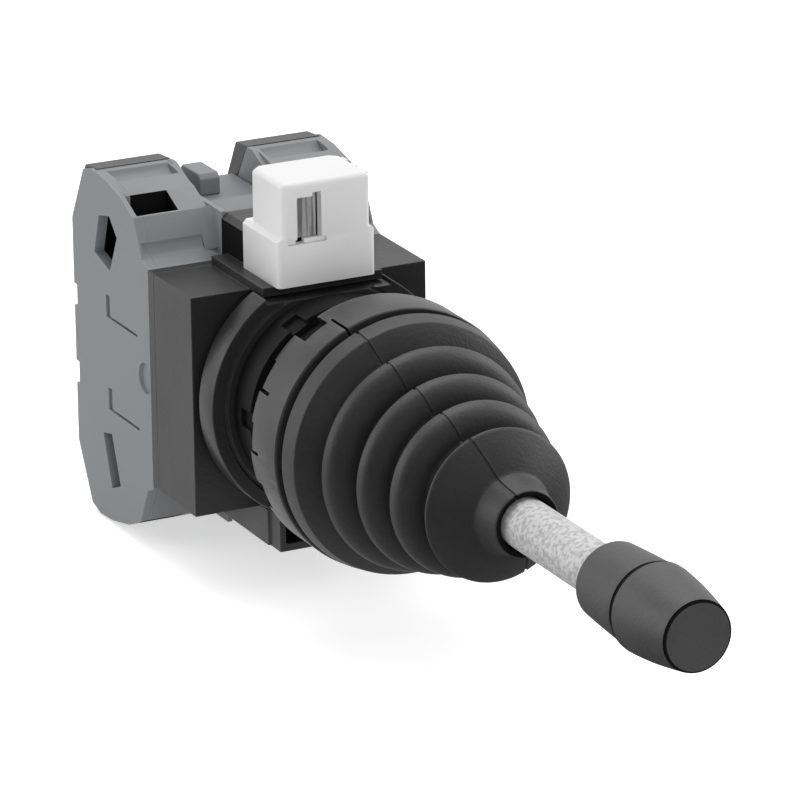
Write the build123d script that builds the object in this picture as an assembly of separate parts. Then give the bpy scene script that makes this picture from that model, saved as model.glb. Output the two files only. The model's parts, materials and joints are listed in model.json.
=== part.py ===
from build123d import *
import math
import os

# Industrial joystick, panel mounted: a lever in a rubber boot tilts four ways and presses
# spring loaded rods, which close contacts in blocks on the rear of a square housing.
# Frame: origin at the centre of the panel cut-out, on the panel's front face.
# The lever points to -Y, the contact blocks lie at +Y, +X is right and +Z is up. Millimetres.

# Lever and knob
shaft_radius = 2.92
tilt_limit_deg = 15.0
pivot_y = 2.0               # where the lever turns, just behind the panel's front face
knob_length = 18.6
knob_rear_radius = 4.5
knob_ridge_radius = 5.05
knob_tip_radius = 3.85
knob_tip_y = -76.4
knob_ridge_share = 0.53     # how far from its tip the knob's ridge lies, as a share of its length
knob_edge = 0.35
knob_cover = 1.7            # from the knob's rear face to its insert
insert_radius = 3.55
insert_wall = 1.1
insert_length = 10.5
clip_thickness = 0.6
clip_depth = 0.4

# Barrel, with everything that is wider than it, and the panel
barrel_radius = 11.0
barrel_wall = 1.6
barrel_rear_y = 16.4
bezel_overlap = 4.45        # how far each of these stands out past the barrel
nut_overlap = 1.3
ring_overlap = 4.0
housing_margin = 2.3
panel_thickness_max = 6.0
bezel_wall = 1.8
bezel_front_y = -7.0
bezel_edge = 0.15
bezel_skin = 0.5            # what the cuts in the bezel's rear edge leave of its wall
bezel_cuts = (              # each cut as (start and end in degrees, depth from the rear edge)
    (116.3, 128.7, 3.2),
    (142.0, 154.8, 0.8),
    (154.8, 156.5, 2.8),
    (170.0, 181.6, 1.0),
    (181.6, 183.2, 2.5),
    (196.3, 209.0, 2.2),
)
bezel_seam = (113.4, 114.6)  # the narrow gap across the bezel, in degrees
bezel_seam_rear_y = -3.0
gasket_thickness = 1.0
flange_thickness = 1.6
head_thickness = 2.4
gate_thickness = 1.2
thread_depth = 0.45
thread_pitch = 1.5
nut_length = 4.2
nut_slot_depth = 0.6
nut_slot_half = 1.1
ring_length = 3.7
ring_groove_inset = 1.6
ring_groove_width = 0.3

# Boot: (distance inside the bezel's radius, y) of each fold's crest, then the collar at the lever
boot_folds = ((0.68, -10.6), (2.3, -14.5), (3.85, -20.1), (5.25, -25.5), (6.55, -31.4))
boot_band = (0.22, -8.3)    # the rear edge of the first fold, given like the crests
boot_groove_depth = 0.75    # of the groove between the bezel and the first fold
boot_fold_share = 0.27      # depth of a fold as a share of its pitch
boot_crest_rounding = 0.4
boot_wall = 1.1             # measured square to the axis
boot_bead = 1.5
boot_collar_base = (4.65, -34.7)
boot_collar_thinning = 0.81  # the wall where the cone meets the collar, as a share of the boot's
boot_mouth = (3.8, -38.0)
boot_mouth_gap = 0.3

# Square housing
housing_mid_z = -0.85
housing_front_y = 16.0
housing_depth = 12.0
housing_wall = 1.5
back_plate = 1.6
hump_width = 11.0
hump_height = 5.6
hump_bevel = 0.7
rail_height = 1.1
rail_half = 7.6
channel_half = 6.5
channel_wall = 1.0
channel_drop = 3.65         # how far the channel reaches below the lock ring
boss_radius = 2.2
housing_screw_radius = 0.95
housing_screw_head = 1.65
housing_screw_length = 6.0

# Contact blocks
block_depth = 22.0
block_overhang = 8.3        # how far the blocks reach above and below the housing
block_mid_z = -1.05
block_wall = 1.3
side_block_extra = 0.1      # the side blocks are a little wider than a third of the housing
centre_block_depth = 19.0
centre_block_gap = 0.15
rod_inset = 4.4             # from the barrel's bore to the middle of the four rods
plunger_offset = 0.15       # the side plungers stand this far inside the middle of their blocks
contact_gap = 1.5
contact_reach_side = 4.8
contact_edge = 1.85         # from the centre block's side to its contacts
rod_lead = 0.12             # the rods travel this much more per radian than their distance gives
mark_depth = 0.4
mark_back = 9.5             # these are distances from the rear of the block
gutter_back = 9.6
roof_middle_back = 9.8
roof_front_back = 14.5
hook_front_back = 10.0
hook_rear_back = 4.2
hook_half_width = 1.3
hook_mid_x = -1.4
hook_height = 2.6
cheek_radius = 1.4
wire_pocket_length = 3.4
wire_pocket_reach = 5.9     # from the block's outer side to the far side of its wire opening
cover_rim = 0.6             # what the wire opening leaves of the cover
slope_groove_radius = 1.3
slope_groove_out = 0.9      # how far its middle lies in front of the slope
head_pocket_length = 8.4
head_pocket_reach = 16.4
chamber_half = 6.4
screw_reach = 10.65         # height of the terminal screws above the block's middle
tongue_half = 3.1           # half the side of the tongue that covers a terminal screw
tongue_thickness = 1.0

# Universal joint at the lever's foot
cross_half = 2.6
cross_pin_radius = 0.8
cross_pin_root = 1.5
pivot_pin_radius = 1.0
yoke_gap = 0.3
ear_thickness = 1.8
ear_half_width = 2.4
disc_thickness = 1.5
disc_radius = 7.6
hub_radius = 3.6
hub_length = 2.6
spigot_radius = 2.0
spigot_length = 2.3
rivet_radius = 0.55
rivet_grip = 1.2

# Small parts
rod_radius = 1.1
collar_radius = 1.95
guide_thickness = 1.8
foot_thickness = 1.6
foot_side = 1.4
plunger_radius = 1.2
wire_radius = 0.2
spring_turns = 4.5
bridge_thickness = 0.6
bridge_half_width = 1.3
button_height = 0.4
button_radius = 0.9
screw_radius = 1.5
screw_head_radius = 2.6
screw_head_height = 2.2
screw_slot_half = 0.4
screw_slot_depth = 0.8
strip_thickness = 0.8
washer_half = 2.6
washer_thickness = 0.8

# Safety lock
lock_front_y = 11.1
lock_length = 9.4
lock_lower_half = 6.2
lock_upper_half = 5.6
lock_lower_height = 5.9
lock_height = 12.3
lock_wall = 1.2
lock_setback = 0.6          # the upper part ends this far before the lower part
lock_corner = 1.0
lock_bevel = 0.5
lock_round = 0.6
lock_rib_pitch = 2.6
lock_rib_width = 1.3
lock_rib_height = 0.5
window_inset = 1.9          # from the lock's side to its window
window_width = 3.1
window_up = 4.95
window_drop = 1.35
window_lip = 0.45           # height of the tab at its top and of the foot at its bottom
window_tab = 2.0
window_foot_gap = 1.1
leaf_thickness = 0.4

# Clearances
running = 0.06              # round parts that turn or slide in each other
seat = 0.02                 # round parts that stay together
face_gap = 0.3              # faces of bodies that pass each other
rod_rest_gap = 0.48         # dome of a rod to the lever's plate, closed at the tilt limit


def block(x0, x1, y0, y1, z0, z1):
    """A box between two corners."""
    centre = Pos((x0 + x1) / 2, (y0 + y1) / 2, (z0 + z1) / 2)
    return centre * Box(x1 - x0, y1 - y0, z1 - z0)


def rod(radius, y0, y1, x=0.0, z=0.0):
    """A round bar along Y."""
    return Pos(x, (y0 + y1) / 2, z) * Rot(90, 0, 0) * Cylinder(radius, y1 - y0)


def tube(outer, inner, y0, y1, x=0.0, z=0.0):
    """A ring along Y."""
    return rod(outer, y0, y1, x, z) - rod(inner, y0 - 1, y1 + 1, x, z)


def turned(points):
    """A body turned round the Y axis from (radius, y) points."""
    return revolve(make_face(Polyline(*points, close=True)), Axis.Y)


def plate(outline, x0, x1):
    """A plate from x0 to x1 whose outline is (y, z) points."""
    face = make_face(Polyline(*[(x0, y, z) for y, z in outline], close=True))
    return extrude(face, amount=x1 - x0, dir=(1, 0, 0))


def save(name, *shapes):
    """Writes one node. Several shapes stay separate solids of that node."""
    solids = [s for shape in shapes for s in shape.solids()]
    body = solids[0] if len(solids) == 1 else Compound(children=solids)
    export_step(body, "parts/" + name + ".step")


def mirrored_z(outline, mid):
    """The (y, z) outline turned upside down about a height."""
    return [(y, 2 * mid - z) for y, z in outline]


# Radii and heights that follow the barrel
tilt = math.radians(tilt_limit_deg)
bezel_radius = barrel_radius + bezel_overlap
nut_radius = barrel_radius + nut_overlap
ring_radius = barrel_radius + ring_overlap
half_width = ring_radius    # the housing is as wide as its lock ring
housing_height = 2 * (barrel_radius + housing_margin)
barrel_bore = barrel_radius - barrel_wall
bezel_bore = bezel_radius - bezel_wall
housing_top = housing_mid_z + housing_height / 2
housing_bottom = housing_mid_z - housing_height / 2
hump_top = housing_top + hump_height
rail_top = housing_top + rail_height
boot_crests = tuple((bezel_radius - inside, y) for inside, y in boot_folds)

# Stations along the axis that several pieces share
gasket_front_y = -gasket_thickness
barrel_head_rear_y = gasket_front_y - flange_thickness
barrel_head_front_y = barrel_head_rear_y - head_thickness
gate_front_y = barrel_head_front_y - gate_thickness
nut_front_y = panel_thickness_max + 0.2
ring_rear_y = housing_front_y - 1.6
ring_front_y = ring_rear_y - ring_length
housing_rear_y = housing_front_y + housing_depth
back_plate_front_y = housing_rear_y - back_plate
knob_rear_y = knob_tip_y + knob_length
insert_rear_y = knob_rear_y - knob_cover
insert_front_y = insert_rear_y - insert_length
clip_front_y = boot_collar_base[1] + 2 * clip_thickness

# The universal joint
ear_inner = cross_half + yoke_gap
ear_outer = ear_inner + ear_thickness
swing_half = cross_half * (math.cos(tilt) + math.sin(tilt))
yoke_inner = swing_half + 0.25
disc_front_y = pivot_y + yoke_inner
disc_rear_y = disc_front_y + disc_thickness
hub_rear_y = pivot_y - yoke_inner
hub_front_y = hub_rear_y - hub_length

# The rods behind the plate
rod_tip_y = disc_rear_y + rod_rest_gap
rod_circle = barrel_bore - rod_inset
rod_travel = (rod_circle + rod_lead) * tilt
collar_front_y = rod_tip_y + 1.3
collar_rear_y = collar_front_y + 0.8
guide_front_y = barrel_rear_y - 1.4 - guide_thickness
foot_front_y = housing_front_y + housing_wall + rod_travel + face_gap
foot_rear_y = foot_front_y + foot_thickness
bridge_front_y = housing_rear_y + 6.0
fixed_face_y = bridge_front_y + bridge_thickness + button_height + contact_gap

# The contact blocks
block_width = 2 * half_width / 3 + side_block_extra
block_half_height = housing_height / 2 + block_overhang
block_rear_y = housing_rear_y + block_depth
block_top = block_mid_z + block_half_height
block_outer_x = -half_width
block_inner_x = block_outer_x + block_width
cover_inner_x = block_outer_x + block_wall
plunger_side_x = half_width - block_width / 2 - plunger_offset
plunger_side_z = block_mid_z
centre_half = half_width - block_width - centre_block_gap
contact_reach_centre = centre_half - contact_edge
strip_front_y = fixed_face_y + 0.5
washer_front_y = strip_front_y + strip_thickness + 0.3

# The safety lock
lock_rear_y = lock_front_y + lock_length
lock_upper_rear_y = lock_rear_y - lock_setback
lock_bottom = rail_top
lock_step_z = lock_bottom + lock_lower_height
lock_top = lock_bottom + lock_height
window_left = -(lock_upper_half - window_inset)
window_right = window_left + window_width
window_bottom = lock_bottom + window_up
window_top = lock_top - window_drop

directions = {
    "left": (-1, 0),
    "right": (1, 0),
    "up": (0, 1),
    "down": (0, -1),
}


# Lever

def make_knob():
    rear_y = knob_rear_y
    ridge_y = knob_tip_y + knob_length * knob_ridge_share
    edge = knob_edge
    rear_side = Line((knob_rear_radius, rear_y - edge), (knob_ridge_radius - 0.2, ridge_y + 0.2))
    step = Line(rear_side @ 1, (knob_ridge_radius, ridge_y - 0.1))
    belly = ThreePointArc(
        step @ 1,
        ((knob_ridge_radius + knob_tip_radius) / 2 + 0.25, (ridge_y + knob_tip_y) / 2),
        (knob_tip_radius, knob_tip_y + edge),
    )
    rim = Line(belly @ 1, (knob_tip_radius - edge, knob_tip_y))
    dish = Line(rim @ 1, (0, knob_tip_y))
    axis_line = Line((0, knob_tip_y), (0, rear_y))
    rear_face = Line((0, rear_y), (knob_rear_radius - edge, rear_y))
    rear_rim = Line(rear_face @ 1, (knob_rear_radius, rear_y - edge))
    outline = Wire([rear_side, step, belly, rim, dish, axis_line, rear_face, rear_rim])
    knob = revolve(make_face(outline), Axis.Y)
    knob -= rod(insert_radius + seat, insert_front_y, insert_rear_y)
    knob -= rod(shaft_radius + seat, insert_rear_y, rear_y + 1)
    return knob


def make_knob_insert():
    insert = tube(insert_radius, insert_radius - insert_wall, insert_front_y, insert_rear_y)
    for turn in range(3):
        groove_y = insert_rear_y - insert_length * (turn + 1) / 4
        insert -= tube(insert_radius + 1, insert_radius - 0.3, groove_y - 0.4, groove_y + 0.4)
    return insert


def make_shaft():
    thread_radius = insert_radius - insert_wall - seat
    shaft = rod(shaft_radius, insert_rear_y, hub_front_y)
    shaft += rod(thread_radius, insert_front_y + 1.0, insert_rear_y)
    shaft += rod(spigot_radius, hub_front_y, hub_front_y + spigot_length)
    shaft -= tube(shaft_radius + 1, shaft_radius - clip_depth, clip_front_y - seat,
                  clip_front_y + clip_thickness + seat)
    return shaft


def make_shaft_clip():
    """The open ring in the shaft's groove, just inside the boot's collar."""
    clip = tube(shaft_radius + 0.9, shaft_radius - clip_depth + seat, clip_front_y,
                clip_front_y + clip_thickness)
    mouth = block(-1.2, 1.2, clip_front_y - 1, clip_front_y + 2, -shaft_radius - 2, 0)
    return clip - mouth


def make_yoke():
    hub = rod(hub_radius, hub_front_y, hub_rear_y)
    bridge_front = hub_rear_y - 1.4
    bridge = block(-ear_half_width, ear_half_width, bridge_front, hub_rear_y,
                   -ear_outer, ear_outer)
    yoke = hub + bridge
    for side in (-1, 1):
        low, high = sorted((side * ear_inner, side * ear_outer))
        yoke += block(-ear_half_width, ear_half_width, bridge_front, disc_front_y, low, high)
        yoke -= pin_along_z(cross_pin_radius + running, side, ear_inner - 1, ear_outer + 1)
        rivet_z = side * (ear_inner + ear_outer) / 2
        yoke -= rod(rivet_radius + seat, disc_front_y - rivet_grip, disc_front_y + 1, 0, rivet_z)
    yoke -= rod(spigot_radius + seat, hub_front_y - 1, hub_front_y + spigot_length + 0.1)
    return yoke


def pin_along_z(radius, side, near, far):
    """A round bar along Z through the pivot's plane, on one side of the axis."""
    middle = side * (near + far) / 2
    return Pos(0, pivot_y, middle) * Cylinder(radius, far - near)


def make_disc():
    disc = rod(disc_radius, disc_front_y, disc_rear_y)
    for side in (-1, 1):
        rivet_z = side * (ear_inner + ear_outer) / 2
        disc -= rod(rivet_radius + seat, disc_front_y - 1, disc_rear_y + 1, 0, rivet_z)
        disc -= rod(rivet_radius + 0.4, disc_rear_y - 0.5, disc_rear_y + 1, 0, rivet_z)
    return disc


def make_disc_rivets():
    rivets = []
    for side in (-1, 1):
        rivet_z = side * (ear_inner + ear_outer) / 2
        shank = rod(rivet_radius, disc_front_y - rivet_grip + 0.1, disc_rear_y - 0.1, 0, rivet_z)
        head = rod(rivet_radius + 0.35, disc_rear_y - 0.48, disc_rear_y - 0.1, 0, rivet_z)
        rivets.append(shank + head)
    return rivets


def make_cross_block():
    cross = block(-cross_half, cross_half, pivot_y - cross_half, pivot_y + cross_half,
                  -cross_half, cross_half)
    cross -= Pos(0, pivot_y, 0) * Rot(0, 90, 0) * Cylinder(pivot_pin_radius + running, 4 * cross_half)
    for side in (-1, 1):
        cross -= pin_along_z(cross_pin_radius + seat, side, cross_pin_root, cross_half + 1)
    return cross


def make_cross_pins():
    return [
        pin_along_z(cross_pin_radius, side, cross_pin_root + 0.05, ear_outer - 0.1)
        for side in (-1, 1)
    ]


def make_pivot_pin():
    length = 2 * (barrel_radius - thread_depth - 0.2)
    return Pos(0, pivot_y, 0) * Rot(0, 90, 0) * Cylinder(pivot_pin_radius, length)


# Boot, bezel and barrel

def boot_side(inset, mouth_radius, bead_radius):
    """The (radius, y) corners of the boot's wall from its bead to its mouth, drawn in by inset."""
    points = [(bead_radius, gate_front_y - 0.2), (bead_radius, bezel_front_y - 0.4)]
    base_radius, base_y = boot_collar_base
    first_radius, first_y = boot_crests[0]
    if not inset:
        band_radius = bezel_radius - boot_band[0]
        groove_radius = band_radius - boot_groove_depth
        points.append((groove_radius, bezel_front_y - 0.4))
        points.append((groove_radius, boot_band[1]))
        points.append((band_radius, boot_band[1]))
    points.append((first_radius - inset, first_y))
    for (radius, y), (next_radius, next_y) in zip(boot_crests, boot_crests[1:]):
        pitch = y - next_y
        valley_radius = next_radius - boot_fold_share * pitch
        points.append((valley_radius - inset, y - 0.45 * pitch))
        points.append((next_radius - inset, next_y))
    last_radius, last_y = boot_crests[-1]
    bend = (base_radius + 0.35 * (last_radius - base_radius), base_y + 0.36 * (last_y - base_y))
    points.append((bend[0] - inset, bend[1]))
    points.append((base_radius - boot_collar_thinning * inset, base_y))
    points.append((mouth_radius, boot_mouth[1]))
    return points


def make_boot():
    outer_bead = bezel_bore - 0.15
    outer = boot_side(0, boot_mouth[0], outer_bead)
    inner = boot_side(boot_wall, shaft_radius + boot_mouth_gap, outer_bead - boot_bead)
    corners = outer + list(reversed(inner))
    section = make_face(Polyline(*corners, close=True))
    for radius, y in boot_crests:
        crest = [v for v in section.vertices() if abs(v.X - radius) + abs(v.Y - y) < 0.01]
        section = fillet(crest, boot_crest_rounding)
    return revolve(section, Axis.Y)


def make_boot_ring():
    """The ring that presses the boot's bead against the bezel."""
    outer = bezel_bore - 0.15 - boot_bead - 0.1
    return tube(outer, outer - 1.3, bezel_front_y - 0.2, gate_front_y)


def make_bezel():
    bezel = turned([
        (bezel_radius - 0.2, -0.2),
        (bezel_radius, -1.2),
        (bezel_radius, bezel_front_y + bezel_edge),
        (bezel_radius - bezel_edge, bezel_front_y),
        (bezel_bore, bezel_front_y),
        (bezel_bore, barrel_head_rear_y),
        (barrel_radius + 0.15, barrel_head_rear_y),
        (barrel_radius + 0.15, gasket_front_y),
        (bezel_bore + 0.2, gasket_front_y),
        (bezel_bore + 0.2, -0.2),
    ])
    for start, end, depth in bezel_cuts:
        bezel -= rim_cuts(start, end, -depth, 1)
    return bezel - rim_cuts(*bezel_seam, bezel_front_y - 1, bezel_seam_rear_y)


def rim_cuts(start, end, y0, y1):
    """Two opposite pieces of the bezel's rim between two angles, counted from +X towards +Z."""
    inner, outer = bezel_bore + bezel_skin, bezel_radius + 1
    section = Pos((inner + outer) / 2, (y0 + y1) / 2) * Rectangle(outer - inner, y1 - y0)
    sector = revolve(section, Axis.Y, end - start)
    return [Rot(0, -end - turn, 0) * sector for turn in (0, 180)]


def make_gasket():
    return tube(bezel_bore - 0.1, barrel_radius + 0.3, gasket_front_y, 0)


def make_barrel():
    crest = barrel_radius
    root = barrel_radius - thread_depth
    points = [(barrel_bore, barrel_head_front_y), (bezel_bore - 0.2, barrel_head_front_y)]
    points += [(bezel_bore - 0.2, barrel_head_rear_y), (crest, barrel_head_rear_y)]
    turns = int((barrel_rear_y - 1.0) / thread_pitch)
    for i in range(turns):
        y = 0.6 + i * thread_pitch
        points += [(crest, y), (root, y + thread_pitch * 0.35), (root, y + thread_pitch * 0.45)]
        points += [(crest, y + thread_pitch * 0.8)]
    points += [(root, barrel_rear_y), (barrel_bore, barrel_rear_y)]
    barrel = turned(points)
    pin_hole = Cylinder(pivot_pin_radius + seat, 4 * barrel_radius)
    return barrel - Pos(0, pivot_y, 0) * Rot(0, 90, 0) * pin_hole


def make_gate():
    """The plate whose square opening stops the lever at its limits."""
    reach = pivot_y - gate_front_y
    lean = reach * math.tan(tilt) / math.cos(tilt)
    half = lean + shaft_radius / math.cos(tilt) ** 2 + 0.2
    opening = Rot(90, 0, 0) * extrude(RectangleRounded(2 * half, 2 * half, 2.2), amount=20, both=True)
    return rod(bezel_bore - 0.2, gate_front_y, barrel_head_front_y) - opening


def make_nut():
    nut = tube(nut_radius, barrel_radius + 0.05, nut_front_y, nut_front_y + nut_length)
    for i in range(6):
        slot = block(-nut_slot_half, nut_slot_half, nut_front_y - 1,
                     nut_front_y + nut_length * 0.6, nut_radius - nut_slot_depth, nut_radius + 1)
        nut -= Rot(0, 60.0 * i + 30, 0) * slot
    return nut


def make_guide():
    guide = rod(barrel_bore - 0.1, guide_front_y, guide_front_y + guide_thickness)
    for x, z in directions.values():
        guide -= rod(rod_radius + running, guide_front_y - 1, guide_front_y + 5,
                     x * rod_circle, z * rod_circle)
    return guide


# Housing

def make_lock_ring():
    """The round flange that locks the housing to the barrel."""
    ring = tube(ring_radius, barrel_radius + 0.25, ring_front_y, ring_rear_y)
    ring -= tube(ring_radius - ring_groove_inset,
                 ring_radius - ring_groove_inset - ring_groove_width,
                 ring_front_y - 1, ring_front_y + ring_groove_width)
    ring -= block(-rail_half - face_gap, rail_half + face_gap, ring_front_y - 1,
                  ring_rear_y + 1, housing_top - face_gap, ring_radius + 1)
    return ring


def hump(front, rear):
    """The raised middle of the housing's top, with bevelled long edges."""
    body = block(-hump_width / 2, hump_width / 2, front, rear, housing_top - 1, hump_top)
    return chamfer(body.edges().filter_by(Axis.Y).group_by(Axis.Z)[-1], hump_bevel)


def make_housing():
    body = block(-half_width, half_width, housing_front_y, back_plate_front_y,
                 housing_bottom, housing_top)
    body += tube(housing_top + 0.5, barrel_radius + 0.3, ring_rear_y, housing_front_y + 0.5)
    body += hump(lock_rear_y + face_gap, back_plate_front_y)
    body += block(-rail_half, rail_half, ring_front_y + 1.6, back_plate_front_y, housing_top, rail_top)
    body -= block(-half_width + housing_wall, half_width - housing_wall,
                  housing_front_y + housing_wall, back_plate_front_y + 1,
                  housing_bottom + housing_wall, housing_top - housing_wall)
    body -= rod(barrel_radius + 0.3, 0, housing_front_y + housing_wall + 1)
    for x, z in corner_places():
        boss = rod(boss_radius, housing_front_y + housing_wall - 0.5, back_plate_front_y, x, z)
        body += boss - rod(housing_screw_radius + 0.05, housing_rear_y - housing_screw_length - 1,
                           housing_rear_y, x, z)
    return body


def corner_places():
    """The four screws that hold the back plate."""
    inside = housing_wall + boss_radius - face_gap
    x = half_width - inside
    top = housing_top - inside
    bottom = housing_bottom + inside
    return [(-x, top), (x, top), (-x, bottom), (x, bottom)]


def make_back_plate():
    back = block(-half_width, half_width, back_plate_front_y, housing_rear_y,
                 housing_bottom, housing_top)
    back += hump(back_plate_front_y, housing_rear_y)
    for x, z in plunger_places():
        back -= rod(plunger_radius + running, back_plate_front_y - 1, housing_rear_y + 1, x, z)
    for x, z in corner_places():
        back -= rod(housing_screw_radius + 0.05, back_plate_front_y - 1, housing_rear_y + 1, x, z)
        back -= rod(housing_screw_head + 0.1, housing_rear_y - 1.0, housing_rear_y + 1, x, z)
    return back


def plunger_places():
    return [plunger_place(name) for name in directions]


def plunger_place(name):
    """Where one direction's plunger stands, as (x, z)."""
    dx, dz = directions[name]
    if dx:
        return dx * plunger_side_x, plunger_side_z
    return 0, dz * rod_circle


def make_housing_screws():
    screws = []
    for x, z in corner_places():
        head = rod(housing_screw_head, housing_rear_y - 0.95, housing_rear_y - 0.1, x, z)
        shank = rod(housing_screw_radius, housing_rear_y - housing_screw_length,
                    housing_rear_y - 0.9, x, z)
        screws.append(head + shank)
    return screws


def make_channel():
    """The open channel under the housing."""
    bottom = -ring_radius - channel_drop
    front = ring_front_y + 1.0
    inner = channel_half - channel_wall
    channel = block(-channel_half, channel_half, front, housing_rear_y, bottom, housing_bottom)
    channel -= block(-inner, inner, front - 1, housing_rear_y - 1.5, bottom + channel_wall,
                     housing_bottom + 1)
    channel -= rod(ring_radius + 0.05, 0, ring_rear_y + 0.1)
    for side in (-1, 1):
        low, high = sorted((side * channel_half, side * (channel_half - 0.25)))
        channel -= block(low, high, front - 1, front + 2.8, bottom - 1, housing_bottom + 1)
    return channel


# Safety lock

def make_safety_lock():
    lower = block(-lock_lower_half, lock_lower_half, lock_front_y, lock_rear_y,
                  lock_bottom, lock_step_z)
    upper = block(-lock_upper_half, lock_upper_half, lock_front_y, lock_upper_rear_y,
                  lock_step_z - 1, lock_top)
    upper = chamfer(upper.edges().filter_by(Axis.Z).group_by(Axis.Y)[-1], lock_corner)
    upper = fillet(upper.edges().filter_by(Axis.Z).group_by(Axis.Y)[0]
                   + upper.edges().group_by(Axis.Z)[-1], lock_round)
    lower = chamfer(lower.edges().group_by(Axis.Z)[-1].filter_by(Axis.Y), lock_bevel)
    lower = fillet(lower.edges().filter_by(Axis.Z).group_by(Axis.Y)[0], lock_round)
    lock = lower + upper
    for i in range(3):
        rib_y = lock_front_y + 1.6 + i * lock_rib_pitch
        lock += block(lock_upper_half - 0.2, lock_upper_half + lock_rib_height, rib_y,
                      rib_y + lock_rib_width, lock_step_z, lock_top - 0.4)
    inner = lock_upper_half - lock_wall
    lock -= block(-inner, inner, lock_front_y + lock_wall, lock_upper_rear_y - lock_wall,
                  lock_bottom - 1, lock_top - lock_wall)
    for left, right, bottom, top in window_cuts():
        lock -= block(left, right, lock_front_y - 1, lock_front_y + 2 * lock_wall, bottom, top)
    lock -= block(window_left - lock_wall, window_right + lock_wall / 2, lock_front_y - 1,
                  lock_front_y + lock_wall / 2, window_bottom, window_bottom + lock_wall / 2)
    return lock


def window_cuts():
    """The window is narrower beside the tab at its top and beside the foot at its bottom."""
    sill, head = window_bottom + window_lip, window_top - window_lip
    return [(window_left, window_right, sill, head),
            (window_left + window_tab, window_right - running, head - 1, window_top),
            (window_left + running, window_left + window_foot_gap, window_bottom, sill + 1)]


def make_lock_leaf():
    """The spring leaf seen in the lock's window."""
    front = lock_front_y + lock_wall + seat
    top = lock_top - lock_wall - seat
    left, right = window_left - 0.6, window_right - 0.15
    leaf = block(left, right, front, front + leaf_thickness, window_bottom + window_lip, top)
    hook = block(left, right, front, front + 2.2, top - leaf_thickness, top)
    return leaf + hook


def make_lock_clip():
    """The catch moulding in the lock, above the locking lever."""
    inner = lock_upper_half - lock_wall - seat
    front = lock_front_y + 3 * lock_wall
    rear = lock_upper_rear_y - lock_wall - seat
    top = lock_top - lock_wall - seat
    clip = block(-inner, inner, front, rear, top - 1.4, top)
    clip += block(inner - 1.0, inner, front, rear, top - 4.5, top)
    return clip


def make_locking_lever():
    """The lever on the housing that the safety lock covers."""
    inner = lock_upper_half - lock_wall - 1.6
    front = lock_front_y + 2 * lock_wall
    lever = block(-inner, inner, front, front + 3.2, rail_top, window_top - 1.6)
    lever = chamfer(lever.edges().group_by(Axis.Z)[-1].filter_by(Axis.X), 0.8)
    return lever


# Rods and contacts

def make_push_rod(name):
    dx, dz = directions[name]
    x, z = dx * rod_circle, dz * rod_circle
    body = rod(rod_radius, rod_tip_y + rod_radius, foot_rear_y, x, z)
    body += Pos(x, rod_tip_y + rod_radius, z) * Sphere(rod_radius)
    body += rod(collar_radius, collar_front_y, collar_rear_y, x, z)
    if dx:
        low, high = sorted((dx * (rod_circle - foot_side), dx * (plunger_side_x + foot_side)))
        body += block(low, high, foot_front_y, foot_rear_y, plunger_side_z - foot_side, foot_side)
    return body


def make_return_spring(name):
    dx, dz = directions[name]
    start = collar_rear_y + wire_radius + 0.03
    length = guide_front_y - start - wire_radius - 0.03
    mean_radius = collar_radius - wire_radius - 0.1
    path = Helix(pitch=length / spring_turns, height=length, radius=mean_radius)
    section = Plane(origin=path @ 0, z_dir=path % 0) * Circle(wire_radius)
    coil = sweep(section, path=path, is_frenet=True)
    return Pos(dx * rod_circle, start, dz * rod_circle) * Rot(-90, 0, 0) * coil


def make_plunger(name):
    x, z = plunger_place(name)
    body = rod(plunger_radius, foot_rear_y, bridge_front_y + bridge_thickness + 1.4, x, z)
    body += rod(plunger_radius + 0.7, bridge_front_y - 0.8, bridge_front_y, x, z)
    return body


def contact_places(name):
    """Where the two contact points of one direction lie, as (x, z)."""
    x, z = plunger_place(name)
    if x:
        return [(x, z + contact_reach_side), (x, z - contact_reach_side)]
    return [(-contact_reach_centre, z), (contact_reach_centre, z)]


def make_bridge(name):
    (x0, z0), (x1, z1) = contact_places(name)
    low_x, high_x = min(x0, x1) - bridge_half_width, max(x0, x1) + bridge_half_width
    low_z, high_z = min(z0, z1) - bridge_half_width, max(z0, z1) + bridge_half_width
    rear = bridge_front_y + bridge_thickness
    bridge = block(low_x, high_x, bridge_front_y, rear, low_z, high_z)
    for x, z in contact_places(name):
        bridge += rod(button_radius, rear - 0.1, rear + button_height, x, z)
    hole = rod(plunger_radius + seat, bridge_front_y - 1, rear + 1, *plunger_place(name))
    return bridge - hole


# Contact blocks. The left block's outlines are (y, z) points, the right block is its mirror image.

shelf_y = housing_rear_y + 3.9
shelf_z = block_top - 2.85
lip_y = housing_rear_y + 1.7
lip_z = housing_top + 0.75
bevel_depth = 3.7
bevel_height = 7.6
lid_length = 6.9
wall_drop = 2.4
wall_slope_rear = 8.3
wall_slope_front = 14.1
bevel_top_y = block_rear_y - bevel_depth
bevel_low_z = block_top - bevel_height
lid_front_y = block_rear_y - lid_length


def upper_outline():
    """The upper half of a contact block seen from its side, from the rear to the front."""
    return [
        (block_rear_y, bevel_low_z),
        (bevel_top_y, block_top - 0.7),
        (block_rear_y - 6.1, block_top),
        (block_rear_y - roof_middle_back, block_top - 0.25),
        (block_rear_y - roof_front_back, block_top - 1.25),
        (shelf_y, shelf_z),
        (lip_y, lip_z),
        (housing_rear_y, housing_top),
    ]


def side_outline():
    upper = upper_outline()
    return upper + list(reversed(mirrored_z(upper, block_mid_z)))


def lid_outline():
    """The slab that closes the rear upper bevel, in section."""
    return [
        (lid_front_y, block_top + 0.1),
        (bevel_top_y + 0.3, block_top - 0.2),
        (block_rear_y + 0.6, bevel_low_z + 0.1),
        (block_rear_y - 2.6, bevel_low_z + 0.9),
    ]


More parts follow.
